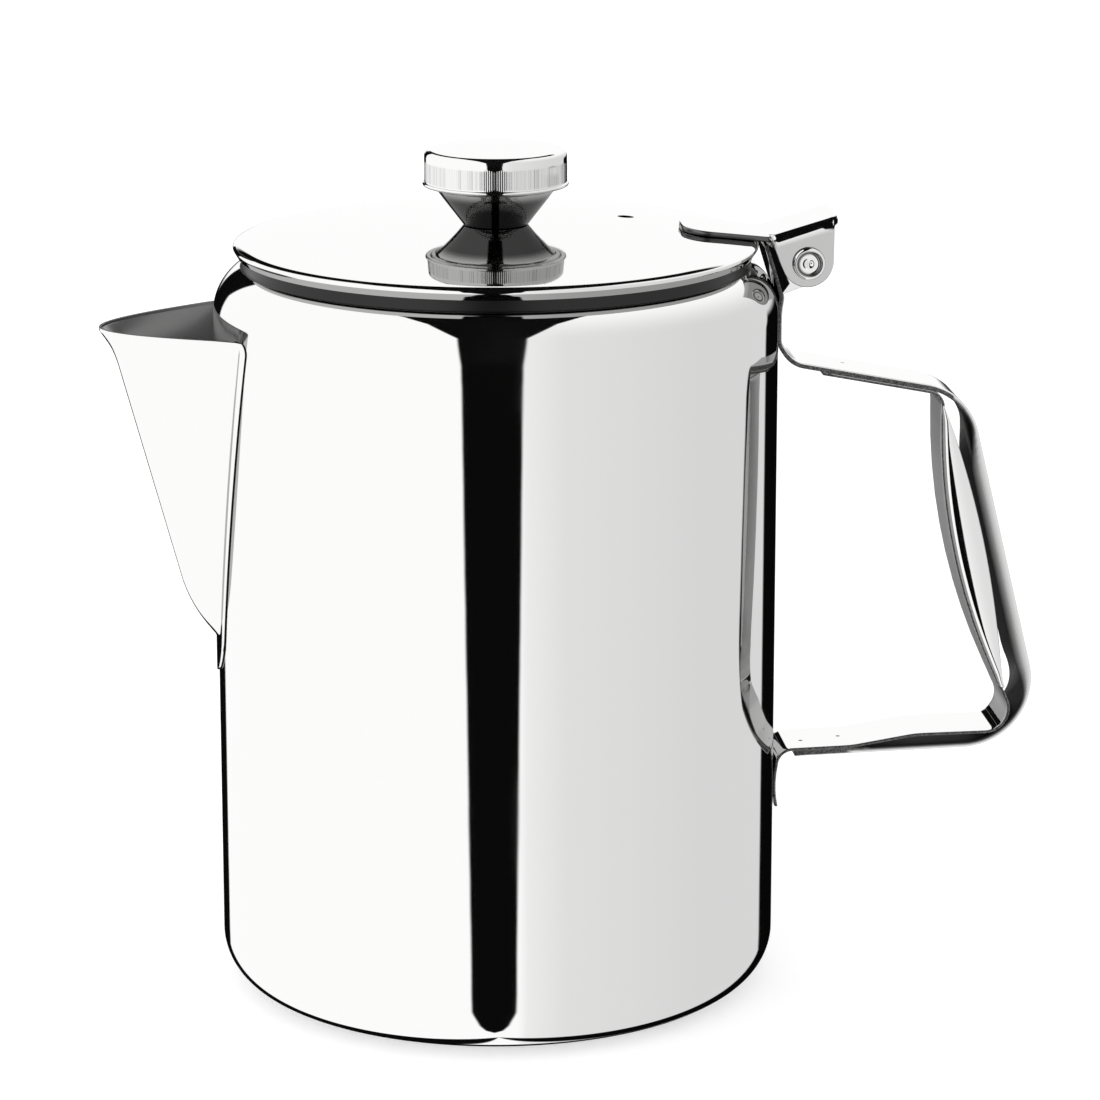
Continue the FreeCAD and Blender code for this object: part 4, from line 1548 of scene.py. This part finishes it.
    def build(self) -> None:
        """Sets up the whole studio."""
        self.camera()
        self.floor()
        self.world()
        bpy.context.scene.view_settings.view_transform = "Standard"


FINISHES = (
    SteelFinish("mirror_steel"),
    SteelFinish("strap_steel", shade_roughness=0.5, marks="weld_marks"),
    SteelFinish("satin_steel", colour=(0.42, 0.42, 0.42), roughness=0.28),
    SteelFinish("inner_strap_steel", shade_roughness=1.3, marks="weld_marks"),
    # Near black: painted shade in gaps, on the spout's cut edge and the folds' inner backs.
    SteelFinish("dark_shade_steel", colour=(0.02, 0.02, 0.02), roughness=0.4),
    SteelFinish("shaded_steel", shade_roughness=0.05),
    SteelFinish("hardware", colour=(0.55, 0.55, 0.54), roughness=0.25),
    SteelFinish("brass", colour=(0.72, 0.55, 0.25), roughness=0.3),
)


@dataclass
class CoffeePot:
    """All pieces of the pot with their finishes."""

    body: PotBody = field(default_factory=PotBody)
    spout: Spout = field(default_factory=Spout)
    handle: Handle = field(default_factory=Handle)
    lid: Lid = field(default_factory=Lid)
    knob: Knob = field(default_factory=Knob)
    hinge: Hinge = field(default_factory=Hinge)

    def dress(self, pieces: list, node: str, body: Body, materials: list) -> None:
        """Lets pieces stand for a CAD node.

        Args:
            pieces: New objects.
            node: Name of the CAD node.
            body: Body that they move with.
            materials: Finish of the front, then of a sheet's back and cut edge.
        """
        for obj in pieces:
            for material in materials:
                obj.data.materials.append(material)
            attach(obj, body.value)
            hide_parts(node)
            LOG.info("%s stands for %s: %d faces", obj.name, node, len(obj.data.polygons))

    def build(self) -> None:
        """Makes every piece."""
        groups = {"polish": polish_group(), "weld_marks": weld_group()}
        steel = {finish.name: finish.build(groups) for finish in FINISHES}
        # The spout's cut edge and the folds' backs are painted with shade.
        mirror, dark_shade = steel["mirror_steel"], steel["dark_shade_steel"]
        self.dress(self.body.build(), "body_shell", Body.POT, [mirror])
        self.dress(self.spout.build(), "spout", Body.POT, [mirror, steel["satin_steel"], dark_shade])
        outer, inner = self.handle.build()
        self.dress(outer, "handle_outer_strap", Body.POT, [steel["strap_steel"]])
        self.dress(inner[:1], "handle_inner_strap", Body.POT, [steel["inner_strap_steel"]])
        self.dress(inner[1:], "handle_inner_strap", Body.POT, [mirror, dark_shade])
        self.dress(self.lid.build(), "lid_shell", Body.LID, [mirror])
        self.dress([self.knob.cap()], "knob_cap", Body.LID, [mirror])
        self.dress([self.knob.cone()], "knob_cone", Body.LID, [steel["shaded_steel"]])
        self.dress(self.hinge.bracket(), "hinge_bracket", Body.LID, [mirror])
        self.dress(self.hinge.rivet(), "hinge_pin", Body.LID, [mirror])
        plain = {Slot.HARDWARE: steel["hardware"], Slot.BRASS: steel["brass"]}
        for node, slot in (("knob_screw", Slot.HARDWARE), ("screw_washer", Slot.HARDWARE),
                           ("knob_insert", Slot.BRASS)):
            mesh = frame["nodes"][node].data
            mesh.materials.clear()
            mesh.materials.append(plain[slot])
            LOG.info("%s keeps its CAD shape", node)


def main() -> None:
    """Builds the pot and its studio."""
    logging.basicConfig(level=logging.INFO, format="%(message)s")
    CoffeePot().build()
    Studio().build()


if __name__ == "__main__":
    main()
